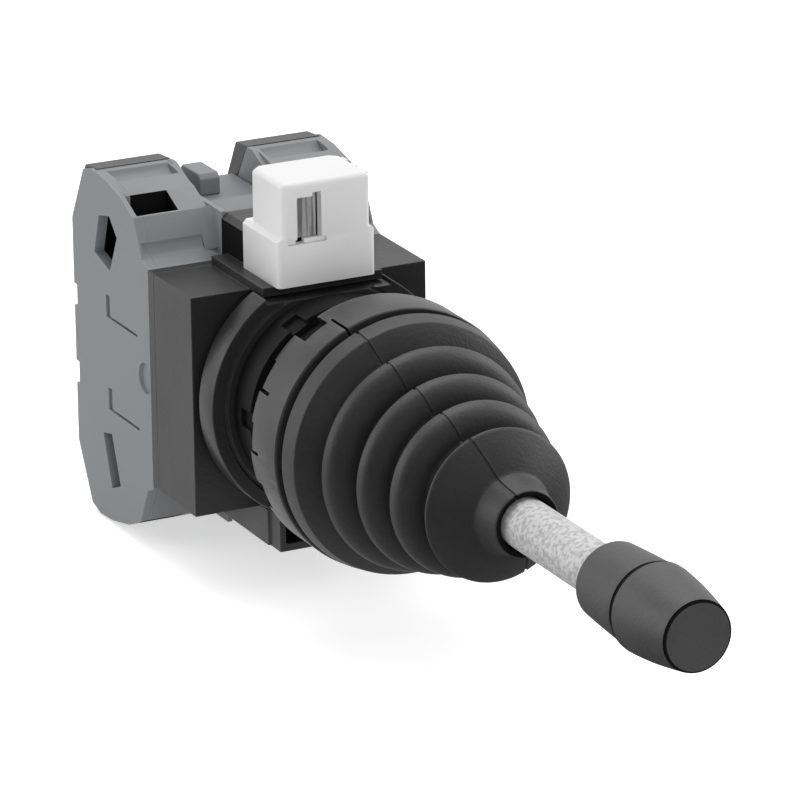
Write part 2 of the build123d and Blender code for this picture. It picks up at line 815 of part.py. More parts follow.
tray_wall = 0.9
wall_step = 0.6
tray_x0 = cover_inner_x + seat
tray_inner_x = block_inner_x - 2 * wall_step
pocket_front_y = shelf_y + 0.2
head_front_y = pocket_front_y + wire_pocket_length + tray_wall
pocket_floor = block_mid_z + chamber_half + tray_wall


def both_halves(outline):
    """An outline above and its mirror image below the block's middle."""
    return [outline, mirrored_z(outline, block_mid_z)]


def rectangle(y0, y1, z0, z1):
    return [(y0, z0), (y1, z0), (y1, z1), (y0, z1)]


def wire_opening():
    return rectangle(pocket_front_y, pocket_front_y + wire_pocket_length, pocket_floor,
                     block_top + 2)


def tongues(gap):
    """The tongues of the lids in front of the terminal screws, grown by a gap."""
    outline = rectangle(block_rear_y - tongue_thickness - gap, block_rear_y + gap,
                        block_mid_z + screw_reach - tongue_half - gap, bevel_low_z + 0.9)
    reach = tongue_half + gap
    return [plate(half, -plunger_side_x - reach, -plunger_side_x + reach)
            for half in both_halves(outline)]


def slope_groove():
    """The shallow hollow along the foot of the sloped front face."""
    depth, height = shelf_y - lip_y, shelf_z - lip_z
    slope = math.hypot(depth, height)
    middle_y = lip_y + 0.2 * depth - slope_groove_out * height / slope
    middle_z = lip_z + 0.2 * height + slope_groove_out * depth / slope
    length = block_width - 1.5
    middle_x = block_outer_x + 0.3 + length / 2
    return Pos(middle_x, middle_y, middle_z) * Rot(0, 90, 0) * Cylinder(slope_groove_radius, length)


def make_casing():
    """The tray of the left contact block, open towards its cover."""
    body = plate(side_outline(), tray_x0, block_inner_x - wall_step)
    wall_top = block_top - wall_drop
    wall = [
        (housing_rear_y, housing_top), (housing_rear_y, wall_top),
        (block_rear_y - wall_slope_front, wall_top), (block_rear_y - wall_slope_rear, block_top),
        (lid_front_y, block_top), (block_rear_y - 2.6, bevel_low_z + 0.9),
        (block_rear_y, bevel_low_z),
    ]
    wall += list(reversed(mirrored_z(wall, block_mid_z)))
    body += plate(wall, block_inner_x - wall_step, block_inner_x)
    for lid in both_halves(lid_outline()):
        body -= plate(lid, block_outer_x - 1, block_inner_x + 1)
    chamber = rectangle(housing_rear_y + 1.6, block_rear_y - 1.4, block_mid_z - chamber_half,
                        block_mid_z + chamber_half)
    body -= plate(chamber, tray_x0 - 1, tray_inner_x)
    passage = rectangle(pocket_front_y, head_front_y + 1, pocket_floor,
                        pocket_floor + 0.35 * head_pocket_reach)
    head_pocket = rectangle(head_front_y, head_front_y + head_pocket_length,
                            block_mid_z + chamber_half - 1, block_mid_z + head_pocket_reach)
    for outline in both_halves(wire_opening()):
        body -= plate(outline, tray_x0 - 1, block_outer_x + wire_pocket_reach)
    for outline in both_halves(passage) + both_halves(head_pocket):
        body -= plate(outline, tray_x0 - 1, tray_inner_x)
    for z in screw_heights():
        body -= rod(screw_head_radius + 0.2, head_front_y, block_rear_y + 1, -plunger_side_x, z)
    body -= rod(plunger_radius + running, housing_rear_y - 1, housing_rear_y + 3,
                *plunger_place("left"))
    body -= slope_groove()
    body -= tongues(seat)
    gutter = Pos(block_outer_x, block_rear_y - gutter_back, block_top + 1.1) * Rot(0, 90, 0)
    body -= gutter * Cylinder(2.2, 2 * (block_width - 1.0))
    for notch in rear_notches():
        body -= plate(notch, block_outer_x - 1, block_inner_x + 1)
    return body + make_cheek(wall)


def make_cheek(wall):
    """The hollow fillet between the sloped front face and the wall at the block's inner end."""
    slope = Vector(0, shelf_y - lip_y, shelf_z - lip_z)
    foot = Plane(origin=(block_inner_x - 0.55, lip_y, lip_z), x_dir=(1, 0, 0), z_dir=slope)
    edge = ThreePointArc((-cheek_radius, 0), (-0.293 * cheek_radius, -0.293 * cheek_radius),
                         (0, -cheek_radius))
    section = make_face(Wire([edge, Line((0, -cheek_radius), (0.05, 0.4)),
                              Line((0.05, 0.4), (-cheek_radius, 0.4)),
                              Line((-cheek_radius, 0.4), (-cheek_radius, 0))]))
    cheek = extrude(foot * section, amount=slope.length)
    return cheek & plate(wall, block_outer_x, block_inner_x)


def make_cover():
    """The side plate of the left contact block, with its two windows and its cut lines."""
    cover = plate(side_outline(), block_outer_x, cover_inner_x)
    for lid in both_halves(lid_outline()):
        cover -= plate(lid, block_outer_x + 0.35, cover_inner_x + 1)
    for outline in both_halves(wire_opening()):
        cover -= plate(outline, block_outer_x + cover_rim, cover_inner_x + 1)
    cover -= slope_groove()
    for window in (upper_window, lower_window):
        moved = [(block_rear_y - back, z) for back, z in window]
        cover -= plate(moved, block_outer_x - 1, cover_inner_x + 1)
    thumb = Pos(block_outer_x, housing_rear_y + 1.5, block_mid_z - 0.2) * Rot(0, 90, 0)
    cover -= thumb * Cylinder(1.9, 2 * mark_depth)
    for top_z in mark_tops:
        mark = contact_mark(block_rear_y - mark_back, top_z)
        cover -= plate(mark, block_outer_x - 1, block_outer_x + mark_depth)
    for notch in rear_notches():
        cover -= plate(notch, block_outer_x - 1, cover_inner_x + 1)
    return cover


# The windows of the side plate, as (distance from the rear, z)
upper_window = ((8.0, 15.3), (11.1, 16.0), (13.2, 13.9), (10.9, 9.2), (6.4, 10.4))
lower_window = ((7.6, -11.9), (10.2, -11.3), (12.4, -17.2), (9.8, -18.3))
mark_tops = (6.0, -5.6)


def contact_mark(y, top):
    """The plain drawing of a contact cut in the side plate: a short thick lead and a long arm."""
    low = top - 2.8
    return [(y, top), (y - 1.1, top), (y - 1.1, low + 0.35), (y - 8.9, low + 0.35),
            (y - 8.9, low), (y, low)]


def rear_notches():
    """Two shallow steps in the rear edge of the casing and its cover."""
    return [rectangle(block_rear_y - 0.85, block_rear_y + 1, 2.0, 4.7),
            rectangle(block_rear_y - 0.85, block_rear_y + 1, -7.8, -5.0)]


def make_lids():
    """The upper and lower slab of the left contact block, each with its tongue."""
    lids = []
    x0 = block_outer_x + 0.4
    for outline, tongue in zip(both_halves(lid_outline()), tongues(0)):
        face = make_face(Polyline(*[(x0, y, z) for y, z in outline], close=True))
        face = offset(face, -seat, kind=Kind.INTERSECTION)
        lids.append(extrude(face, amount=block_inner_x - 0.05 - x0, dir=(1, 0, 0)) + tongue)
    return lids


def screw_heights():
    return [block_mid_z + screw_reach, block_mid_z - screw_reach]


def make_terminals():
    """The two fixed contacts of the left block, each one strip from its contact to its screw."""
    strips = []
    for side, screw_z in zip((1, -1), screw_heights()):
        contact_z = plunger_side_z + side * contact_reach_side
        low, high = sorted((contact_z - side * bridge_half_width, screw_z + side * washer_half))
        strip = block(cover_inner_x + face_gap, tray_inner_x - 0.1, strip_front_y,
                      strip_front_y + strip_thickness, low, high)
        strip += rod(button_radius, fixed_face_y, strip_front_y + 0.1, -plunger_side_x, contact_z)
        strip -= rod(screw_radius + seat, strip_front_y - 1, strip_front_y + 2,
                     -plunger_side_x, screw_z)
        strips.append(strip)
    return strips


def make_clamp_washers():
    washers = []
    for z in screw_heights():
        washer = block(-plunger_side_x - washer_half, -plunger_side_x + washer_half,
                       washer_front_y, washer_front_y + washer_thickness,
                       z - washer_half, z + washer_half)
        washers.append(washer - rod(screw_radius + seat, washer_front_y - 1,
                                    washer_front_y + 2, -plunger_side_x, z))
    return washers


def make_terminal_screws():
    screws = []
    seat_y = washer_front_y + washer_thickness
    head_rear_y = seat_y + screw_head_height
    slot_y = head_rear_y - screw_slot_depth
    x = -plunger_side_x
    for z in screw_heights():
        screw = rod(screw_radius, strip_front_y - 0.6, seat_y + 0.1, x, z)
        screw += rod(screw_head_radius, seat_y, head_rear_y, x, z)
        for half_x, half_z in ((3, screw_slot_half), (screw_slot_half, 3)):
            screw -= block(x - half_x, x + half_x, slot_y, head_rear_y + 1, z - half_z, z + half_z)
        screws.append(screw)
    return screws


def mirror_all(shapes):
    return [mirror(s, Plane.YZ) for s in shapes]


# The block between the two side blocks

centre_rear_y = housing_rear_y + centre_block_depth
centre_top = block_top - 4.2


def make_centre_casing():
    outline = [
        (housing_rear_y, centre_top - 1.2), (shelf_y - 0.2, centre_top + 0.4),
        (shelf_y + 3.0, centre_top + 1.1), (shelf_y + 3.1, centre_top),
        (centre_rear_y, centre_top), (centre_rear_y, 2 * block_mid_z - centre_top),
        (housing_rear_y, 2 * block_mid_z - centre_top),
    ]
    body = plate(outline, -centre_half, centre_half)
    for z in (rod_circle, -rod_circle):
        body -= rod(plunger_radius + running, housing_rear_y - 1, housing_rear_y + 3, 0, z)
        body -= block(-centre_half + 0.4, centre_half - 0.4, housing_rear_y + 1.6,
                      centre_rear_y - 4, z - 3.2, z + 3.2)
        for x in (-contact_reach_centre, contact_reach_centre):
            body -= block(x - 0.5, x + 0.5, centre_rear_y - 5, centre_rear_y + 1,
                          z - 1.5, z + 1.5)
    return body


def make_centre_terminals():
    """Four blades that leave the centre block at its rear."""
    blades = []
    for z in (rod_circle, -rod_circle):
        for x in (-contact_reach_centre, contact_reach_centre):
            blade = block(x - 0.4, x + 0.4, strip_front_y, centre_rear_y + 4.5,
                          z - 1.4, z + 1.4)
            blade += rod(button_radius, fixed_face_y, strip_front_y + 0.2, x, z)
            blades.append(blade)
    return blades


def make_centre_hook():
    """The hook between the side blocks that holds them on the housing."""
    hook = block(hook_mid_x - hook_half_width, hook_mid_x + hook_half_width,
                 block_rear_y - hook_front_back, block_rear_y - hook_rear_back,
                 centre_top, centre_top + hook_height)
    return chamfer(hook.edges().group_by(Axis.Z)[-1].filter_by(Axis.X), 0.6)


def write_parts():
    os.makedirs("parts", exist_ok=True)
    save("knob", make_knob())
    save("knob_insert", make_knob_insert())
    save("lever_shaft", make_shaft())
    save("shaft_clip", make_shaft_clip())
    save("lever_yoke", make_yoke())
    save("swash_plate", make_disc())
    save("swash_rivets", *make_disc_rivets())
    save("cross_block", make_cross_block())
    save("cross_pins", *make_cross_pins())
    save("pivot_pin", make_pivot_pin())
    save("rubber_boot", make_boot())
    save("boot_ring", make_boot_ring())
    save("bezel_ring", make_bezel())
    save("panel_gasket", make_gasket())
    save("threaded_barrel", make_barrel())
    save("gate_plate", make_gate())
    save("ring_nut", make_nut())
    save("rod_guide", make_guide())
    save("lock_ring", make_lock_ring())
    save("housing", make_housing())
    save("housing_back", make_back_plate())
    save("housing_screws", *make_housing_screws())
    save("lower_channel", make_channel())
    save("safety_lock", make_safety_lock())
    save("lock_leaf", make_lock_leaf())
    save("lock_clip", make_lock_clip())
    save("locking_lever", make_locking_lever())
    for name in directions:
        save("push_rod_" + name, make_push_rod(name))
        save("return_spring_" + name, make_return_spring(name))
        save("plunger_" + name, make_plunger(name))
        save("contact_bridge_" + name, make_bridge(name))
    side_pieces = {
        "block_casing": [make_casing()],
        "block_cover": [make_cover()],
        "block_lids": make_lids(),
        "terminals": make_terminals(),
        "clamp_washers": make_clamp_washers(),
        "terminal_screws": make_terminal_screws(),
    }
    for name, shapes in side_pieces.items():
        save("left_" + name, *shapes)
        save("right_" + name, *mirror_all(shapes))
    save("centre_block_casing", make_centre_casing())
    save("centre_terminals", *make_centre_terminals())
    save("centre_hook", make_centre_hook())


write_parts()
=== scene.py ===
# %% [markdown]
# # An industrial joystick switch
# The solids of this switch come ready made from its CAD source, each at its true place. This file
# dresses them: it softens their edges, models what is soft or wound, and gives every surface the
# finish of the real one. The scene is in metres, while profiles and edge rounds are given in
# millimetres. The lever points towards -Y.

# %% Load the fixed frame
import json
import math

import bmesh
import bpy
from mathutils import Matrix, Vector
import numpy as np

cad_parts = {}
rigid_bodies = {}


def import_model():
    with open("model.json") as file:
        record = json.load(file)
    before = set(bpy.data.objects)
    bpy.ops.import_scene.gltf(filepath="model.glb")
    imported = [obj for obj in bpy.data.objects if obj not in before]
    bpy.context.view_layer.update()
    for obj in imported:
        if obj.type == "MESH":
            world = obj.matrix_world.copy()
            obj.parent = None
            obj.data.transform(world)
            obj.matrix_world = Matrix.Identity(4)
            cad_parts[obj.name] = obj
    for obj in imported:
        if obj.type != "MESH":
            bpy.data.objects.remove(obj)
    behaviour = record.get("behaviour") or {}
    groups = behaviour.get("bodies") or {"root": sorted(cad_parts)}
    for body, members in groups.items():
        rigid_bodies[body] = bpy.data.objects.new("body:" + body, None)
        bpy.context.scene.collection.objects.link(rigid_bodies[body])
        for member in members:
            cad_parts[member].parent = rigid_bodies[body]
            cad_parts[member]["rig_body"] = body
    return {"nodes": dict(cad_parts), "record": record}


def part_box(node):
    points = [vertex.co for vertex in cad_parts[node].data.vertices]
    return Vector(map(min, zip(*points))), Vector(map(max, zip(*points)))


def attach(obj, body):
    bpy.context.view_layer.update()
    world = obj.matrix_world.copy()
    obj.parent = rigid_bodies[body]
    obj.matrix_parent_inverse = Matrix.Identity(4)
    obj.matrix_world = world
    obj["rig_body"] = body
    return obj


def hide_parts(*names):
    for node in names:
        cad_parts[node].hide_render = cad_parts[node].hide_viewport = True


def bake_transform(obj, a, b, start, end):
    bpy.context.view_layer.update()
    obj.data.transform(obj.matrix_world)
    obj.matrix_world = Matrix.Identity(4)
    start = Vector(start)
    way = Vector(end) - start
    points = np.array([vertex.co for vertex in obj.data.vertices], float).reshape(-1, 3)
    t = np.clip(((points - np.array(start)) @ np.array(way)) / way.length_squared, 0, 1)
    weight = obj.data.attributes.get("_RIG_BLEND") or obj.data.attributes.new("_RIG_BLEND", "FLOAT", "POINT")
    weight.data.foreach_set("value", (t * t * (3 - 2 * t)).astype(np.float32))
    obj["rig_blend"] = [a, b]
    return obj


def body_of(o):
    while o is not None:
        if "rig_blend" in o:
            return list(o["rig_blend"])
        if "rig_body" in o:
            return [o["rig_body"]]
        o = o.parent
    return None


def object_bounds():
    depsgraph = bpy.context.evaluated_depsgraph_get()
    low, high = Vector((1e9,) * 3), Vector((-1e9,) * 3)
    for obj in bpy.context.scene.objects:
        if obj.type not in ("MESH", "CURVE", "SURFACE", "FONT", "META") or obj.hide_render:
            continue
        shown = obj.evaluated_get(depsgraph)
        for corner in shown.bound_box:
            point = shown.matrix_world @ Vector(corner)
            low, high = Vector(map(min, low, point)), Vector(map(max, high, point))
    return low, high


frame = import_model()
cad_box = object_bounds()
nodes = frame["nodes"]
MM = 0.001
print("solids in the frame:", len(nodes))

# %% [markdown]
# ## Camera
# The photograph was taken from far away with a long lens, which keeps parallel edges nearly
# parallel. The place and turn of the camera were fitted to points of the object, so a straight
# comparison of render and photograph is possible.

# %% Camera
CAMERA_PLACE = Vector((-0.28051, -0.57938, 0.22423))
CAMERA_RIGHT = Vector((0.89606885, -0.44377248, -0.01125183))
CAMERA_UP = Vector((0.15403886, 0.28706476, 0.94544479))

camera_data = bpy.data.cameras.new("camera")
camera_data.lens = 270.0
camera_data.sensor_width = 36.0
camera_data.sensor_fit = "HORIZONTAL"
camera_data.clip_start = 0.05
camera_data.clip_end = 20.0
camera = bpy.data.objects.new("camera", camera_data)
bpy.context.scene.collection.objects.link(camera)
back = CAMERA_RIGHT.cross(CAMERA_UP)
turn = Matrix((CAMERA_RIGHT, CAMERA_UP, back)).transposed()
camera.matrix_world = Matrix.Translation(CAMERA_PLACE) @ turn.to_4x4()
bpy.context.scene.camera = camera
bpy.context.scene.view_settings.view_transform = "Standard"
print("camera stands", round(CAMERA_PLACE.length, 3), "m from the panel's cut-out")

# %% [markdown]
# ## Light and ground
# Black plastic shows its shape by what it reflects, so its surroundings matter more than the
# lamps. The studio is white behind and beside the object and dark in front, as in the photograph.
# A front lamp that glossy surfaces don't mirror lifts mainly the white and grey parts, and the
# floor shows in them dark in front and light behind.

# %% Lamps
def soft_lamp(name, place, width, height, watts, mirrored=True):
    """A large area lamp that looks at the middle of the switch. mirrored says whether it shows in
    glossy surfaces."""
    data = bpy.data.lights.new(name, "AREA")
    data.shape = "RECTANGLE"
    data.size = width
    data.size_y = height
    data.energy = watts
    lamp = bpy.data.objects.new(name, data)
    bpy.context.scene.collection.objects.link(lamp)
    lamp.location = place
    aim = Vector((0.0, 0.0, 0.0)) - Vector(place)
    lamp.rotation_euler = aim.to_track_quat("-Z", "Y").to_euler()
    lamp.visible_glossy = mirrored


soft_lamp("lamp_left", (-0.85, 0.50, 0.25), 0.7, 0.7, 3.0)
soft_lamp("lamp_above", (0.10, 0.35, 0.90), 0.8, 0.8, 3.6)
soft_lamp("lamp_right", (0.90, 0.10, 0.40), 0.6, 0.6, 2.5)
soft_lamp("lamp_front", (-0.25, -0.95, 0.30), 0.8, 0.8, 5.6, mirrored=False)

# %% World and floor
BRIGHT_SIDE = Vector((0.40, 0.66, 0.63)).normalized()
WORLD_FADE = (-0.35, 0.75)
WORLD_LEVELS = (0.04, 0.95)
FLOOR_HALF = 3.0
FLOOR_DROP = 0.0002
FLOOR_GREY = 0.8
FLOOR_GLOW = 0.55
MIRRORED_FADE = (-0.06, 0.03)
MIRRORED_LEVELS = (0.045, 0.88)


def wire(tree, source, target):
    tree.links.new(source, target)


def faded(tree, source, limits, levels):
    """Turns a value between two limits smoothly into a value between two levels."""
    node = tree.nodes.new("ShaderNodeMapRange")
    node.interpolation_type = "SMOOTHSTEP"
    node.inputs["From Min"].default_value, node.inputs["From Max"].default_value = limits
    node.inputs["To Min"].default_value, node.inputs["To Max"].default_value = levels
    wire(tree, source, node.inputs["Value"])
    return node.outputs["Result"]


def choose_shader(tree, factor, first, second):
    """The first shader where factor is 0 and the second where it is 1."""
    node = tree.nodes.new("ShaderNodeMixShader")
    wire(tree, factor, node.inputs["Fac"])
    wire(tree, first, node.inputs[1])
    wire(tree, second, node.inputs[2])
    return node.outputs["Shader"]


world = bpy.data.worlds.new("studio")
bpy.context.scene.world = world
world.use_nodes = True
world_tree = world.node_tree
world_tree.nodes.clear()
world_out = world_tree.nodes.new("ShaderNodeOutputWorld")
seen = world_tree.nodes.new("ShaderNodeBackground")
seen.inputs["Color"].default_value = (1.0, 1.0, 1.0, 1.0)
seen.inputs["Strength"].default_value = 1.0
fill = world_tree.nodes.new("ShaderNodeBackground")
fill.inputs["Color"].default_value = (1.0, 1.0, 1.0, 1.0)
direction = world_tree.nodes.new("ShaderNodeTexCoord")
behind = world_tree.nodes.new("ShaderNodeVectorMath")
behind.operation = "DOT_PRODUCT"
behind.inputs[1].default_value = BRIGHT_SIDE
wire(world_tree, direction.outputs["Generated"], behind.inputs[0])
wire(world_tree, faded(world_tree, behind.outputs["Value"], WORLD_FADE, WORLD_LEVELS),
     fill.inputs["Strength"])
path = world_tree.nodes.new("ShaderNodeLightPath")
wire(world_tree, choose_shader(world_tree, path.outputs["Is Camera Ray"],
                               fill.outputs["Background"], seen.outputs["Background"]),
     world_out.inputs["Surface"])

floor_height = cad_box[0].z - FLOOR_DROP
floor_mesh = bpy.data.meshes.new("floor")
floor_mesh.from_pydata(
    [(-FLOOR_HALF, -FLOOR_HALF, floor_height), (FLOOR_HALF, -FLOOR_HALF, floor_height),
     (FLOOR_HALF, FLOOR_HALF, floor_height), (-FLOOR_HALF, FLOOR_HALF, floor_height)],
    [], [(0, 1, 2, 3)])
floor = bpy.data.objects.new("floor", floor_mesh)
bpy.context.scene.collection.objects.link(floor)
paper = bpy.data.materials.new("white_paper")
paper.use_nodes = True
paper_tree = paper.node_tree
paper_tree.nodes.clear()
paper_out = paper_tree.nodes.new("ShaderNodeOutputMaterial")
matt = paper_tree.nodes.new("ShaderNodeBsdfDiffuse")
matt.inputs["Color"].default_value = (FLOOR_GREY, FLOOR_GREY, FLOOR_GREY, 1.0)
glow = paper_tree.nodes.new("ShaderNodeEmission")
paper_path = paper_tree.nodes.new("ShaderNodeLightPath")
lift = paper_tree.nodes.new("ShaderNodeMath")
lift.operation = "MULTIPLY"
lift.inputs[1].default_value = FLOOR_GLOW
wire(paper_tree, paper_path.outputs["Is Camera Ray"], lift.inputs[0])
wire(paper_tree, lift.outputs["Value"], glow.inputs["Strength"])
both = paper_tree.nodes.new("ShaderNodeAddShader")
wire(paper_tree, matt.outputs["BSDF"], both.inputs[0])
wire(paper_tree, glow.outputs["Emission"], both.inputs[1])
floor_place = paper_tree.nodes.new("ShaderNodeTexCoord")
floor_split = paper_tree.nodes.new("ShaderNodeSeparateXYZ")
wire(paper_tree, floor_place.outputs["Object"], floor_split.inputs["Vector"])
mirrored_paper = paper_tree.nodes.new("ShaderNodeEmission")
wire(paper_tree, faded(paper_tree, floor_split.outputs["Y"], MIRRORED_FADE, MIRRORED_LEVELS),
     mirrored_paper.inputs["Strength"])
wire(paper_tree, choose_shader(paper_tree, paper_path.outputs["Is Glossy Ray"],
                               both.outputs["Shader"], mirrored_paper.outputs["Emission"]),
     paper_out.inputs["Surface"])
floor.data.materials.append(paper)
print("floor lies at", round(floor_height / MM, 2), "mm")

# %% [markdown]
# ## Shared effects
# Moulded plastic is never one flat colour. A fine grain breaks its gloss and broad clouds shift its
# tone a little. Its edges get a painted highlight, a paler colour along them. On the knob they get
# painted shade, a darker one. These effects are node groups, so that each material can use them
# with its own values.

# %% Node helpers
def new_group(name, inputs, outputs):
    """An empty shader group. inputs and outputs are (name, kind, value) and (name, kind)."""
    group = bpy.data.node_groups.new(name, "ShaderNodeTree")
    for label, kind, value in inputs:
        socket = group.interface.new_socket(label, in_out="INPUT", socket_type=kind)
        socket.default_value = value
    for label, kind in outputs:
        group.interface.new_socket(label, in_out="OUTPUT", socket_type=kind)
    return group, group.nodes.new("NodeGroupInput"), group.nodes.new("NodeGroupOutput")


def math_node(tree, operation, first, second=None, clamp=False):
    """A math node fed by sockets or by plain numbers. Returns its output."""
    node = tree.nodes.new("ShaderNodeMath")
    node.operation = operation
    node.use_clamp = clamp
    for socket, value in zip(node.inputs, (first, second)):
        if value is None:
            continue
        if isinstance(value, (int, float)):
            socket.default_value = value
        else:
            wire(tree, value, socket)
    return node.outputs["Value"]


def colour_mix(tree, factor, first, second, blend="MIX"):
    """Mixes two colours, each a socket or a plain colour. Returns the result."""
    node = tree.nodes.new("ShaderNodeMix")
    node.data_type = "RGBA"
    node.blend_type = blend
    for socket, value in ((node.inputs[0], factor), (node.inputs[6], first),
                          (node.inputs[7], second)):
        if isinstance(value, (int, float, tuple)):
            socket.default_value = value
        else:
            wire(tree, value, socket)
    return node.outputs[2]


print("helpers for shader trees are ready")

# %% Group: moulded grain
COLOUR, NUMBER = "NodeSocketColor", "NodeSocketFloat"
CLOUD_SHARE, SPECK_SHARE = 1.4, 0.8
GLOSS_SHARE = 0.18
grain_group, grain_in, grain_out = new_group(
    "moulded_grain",
    [("Colour", COLOUR, (0.1, 0.1, 0.1, 1.0)), ("Spread", NUMBER, 0.15), ("Roughness", NUMBER, 0.5),
     ("Grain", NUMBER, 3500.0), ("Clouds", NUMBER, 120.0)],
    [("Colour", COLOUR), ("Roughness", NUMBER), ("Height", NUMBER)])
place = grain_group.nodes.new("ShaderNodeTexCoord")
fine = grain_group.nodes.new("ShaderNodeTexNoise")
fine.inputs["Detail"].default_value = 3.0
wire(grain_group, place.outputs["Object"], fine.inputs["Vector"])
wire(grain_group, grain_in.outputs["Grain"], fine.inputs["Scale"])
clouds = grain_group.nodes.new("ShaderNodeTexNoise")
clouds.inputs["Detail"].default_value = 4.0
wire(grain_group, place.outputs["Object"], clouds.inputs["Vector"])
wire(grain_group, grain_in.outputs["Clouds"], clouds.inputs["Scale"])
centred = math_node(grain_group, "SUBTRACT", clouds.outputs["Fac"], 0.5)
speck = math_node(grain_group, "SUBTRACT", fine.outputs["Fac"], 0.5)
tone = math_node(grain_group, "ADD", math_node(grain_group, "MULTIPLY", centred, CLOUD_SHARE),
                 math_node(grain_group, "MULTIPLY", speck, SPECK_SHARE))
tone = math_node(grain_group, "MULTIPLY", tone, grain_in.outputs["Spread"])
level = math_node(grain_group, "ADD", tone, 1.0)
level_colour = grain_group.nodes.new("ShaderNodeCombineColor")
for channel in ("Red", "Green", "Blue"):
    wire(grain_group, level, level_colour.inputs[channel])
wire(grain_group, colour_mix(grain_group, 1.0, grain_in.outputs["Colour"],
                             level_colour.outputs["Color"], "MULTIPLY"),
     grain_out.inputs["Colour"])
rough = math_node(grain_group, "ADD", grain_in.outputs["Roughness"],
                  math_node(grain_group, "MULTIPLY", centred, GLOSS_SHARE), clamp=True)
wire(grain_group, rough, grain_out.inputs["Roughness"])
wire(grain_group, fine.outputs["Fac"], grain_out.inputs["Height"])
print("group", grain_group.name, "has", len(grain_group.nodes), "nodes")

# %% Group: painted edge shading
# Paints the edges in the Edge Colour. On most plastics this is paler, a painted highlight; on the knob it is
# darker, painted shade.
EDGE_SHADING_RADIUS = 0.00035
EDGE_SHADING_GAIN = 9.0
PATCH_SCALE = 900.0
edge_group, edge_in, edge_out = new_group(
    "rubbed_edges",
    [("Colour", COLOUR, (0.1, 0.1, 0.1, 1.0)), ("Edge Colour", COLOUR, (0.2, 0.2, 0.2, 1.0)),
     ("Amount", NUMBER, 0.5)],
    [("Colour", COLOUR)])
rounded = edge_group.nodes.new("ShaderNodeBevel")
rounded.samples = 6
rounded.inputs["Radius"].default_value = EDGE_SHADING_RADIUS
flat = edge_group.nodes.new("ShaderNodeNewGeometry")
compare = edge_group.nodes.new("ShaderNodeVectorMath")
compare.operation = "DOT_PRODUCT"
wire(edge_group, rounded.outputs["Normal"], compare.inputs[0])
wire(edge_group, flat.outputs["Normal"], compare.inputs[1])
turned_away = math_node(edge_group, "SUBTRACT", 1.0, compare.outputs["Value"])
mask = math_node(edge_group, "MULTIPLY", turned_away, EDGE_SHADING_GAIN, clamp=True)
patchy = edge_group.nodes.new("ShaderNodeTexNoise")
patchy.inputs["Scale"].default_value = PATCH_SCALE
edge_place = edge_group.nodes.new("ShaderNodeTexCoord")
wire(edge_group, edge_place.outputs["Object"], patchy.inputs["Vector"])
mask = math_node(edge_group, "MULTIPLY", mask, patchy.outputs["Fac"])
mask = math_node(edge_group, "MULTIPLY", mask, edge_in.outputs["Amount"], clamp=True)
wire(edge_group, colour_mix(edge_group, mask, edge_in.outputs["Colour"],
                            edge_in.outputs["Edge Colour"]), edge_out.inputs["Colour"])
print("group", edge_group.name, "has", len(edge_group.nodes), "nodes")

# %% [markdown]
# ## Finishes
# Each finish starts from one Principled shader. What changes over the surface comes from the
# groups above, and what is the same all over is set on the shader itself.

# %% Plastic and rubber
def place_group(tree, group, **values):
    """A node of a group with its inputs set. An underscore in a name stands for a space."""
    node = tree.nodes.new("ShaderNodeGroup")
    node.node_tree = group
    for label, value in values.items():
        node.inputs[label.replace("_", " ")].default_value = value
    return node


def grey(value):
    """A neutral colour."""
    return (value, value, value, 1.0)


CLOUD_SCALE = 120.0


def moulded(name, colour, roughness, spread=0.15, grain=3500.0, depth=0.02, edge=None,
            amount=0.5, specular=0.5, strength=0.6):
    """Moulded plastic or rubber: grain in tone, gloss and height, and edges painted in the edge colour: a
    painted highlight where it is paler, painted shade where it is darker.
    """
    material = bpy.data.materials.new(name)
    material.use_nodes = True
    tree = material.node_tree
    shader = tree.nodes["Principled BSDF"]
    shader.inputs["Specular IOR Level"].default_value = specular
    surface = place_group(tree, grain_group, Colour=colour, Spread=spread, Roughness=roughness,
                          Grain=grain, Clouds=CLOUD_SCALE)
    result = surface.outputs["Colour"]
    if edge is not None:
        edge_shaded = place_group(tree, edge_group, Edge_Colour=edge, Amount=amount)
        wire(tree, result, edge_shaded.inputs["Colour"])
        result = edge_shaded.outputs["Colour"]
    wire(tree, result, shader.inputs["Base Color"])
    wire(tree, surface.outputs["Roughness"], shader.inputs["Roughness"])
    bump = tree.nodes.new("ShaderNodeBump")
    bump.inputs["Strength"].default_value = strength
    bump.inputs["Distance"].default_value = depth * MM
    wire(tree, surface.outputs["Height"], bump.inputs["Height"])
    wire(tree, bump.outputs["Normal"], shader.inputs["Normal"])
    return material


black_plastic = moulded("black_plastic", grey(0.019), 0.42, spread=0.4, grain=2600.0, depth=0.045,
                        edge=grey(0.09), amount=0.6, strength=0.8)
bezel_plastic = moulded("bezel_plastic", grey(0.024), 0.40, spread=0.4, grain=2600.0, depth=0.045,
                        edge=grey(0.12), amount=0.7, specular=0.58, strength=0.8)
grey_plastic = moulded("grey_plastic", (0.21, 0.215, 0.225, 1.0), 0.5, spread=0.08,
                       edge=grey(0.36), amount=0.5)
dark_grey_plastic = moulded("dark_grey_plastic", grey(0.075), 0.6, spread=0.25, grain=1800.0,
                            edge=grey(0.16))
white_plastic = moulded("white_plastic", (0.745, 0.745, 0.745, 1.0), 0.45, spread=0.03,
                        edge=grey(0.9), amount=0.4)
rod_plastic = moulded("rod_plastic", (0.7, 0.68, 0.62, 1.0), 0.5, spread=0.04)
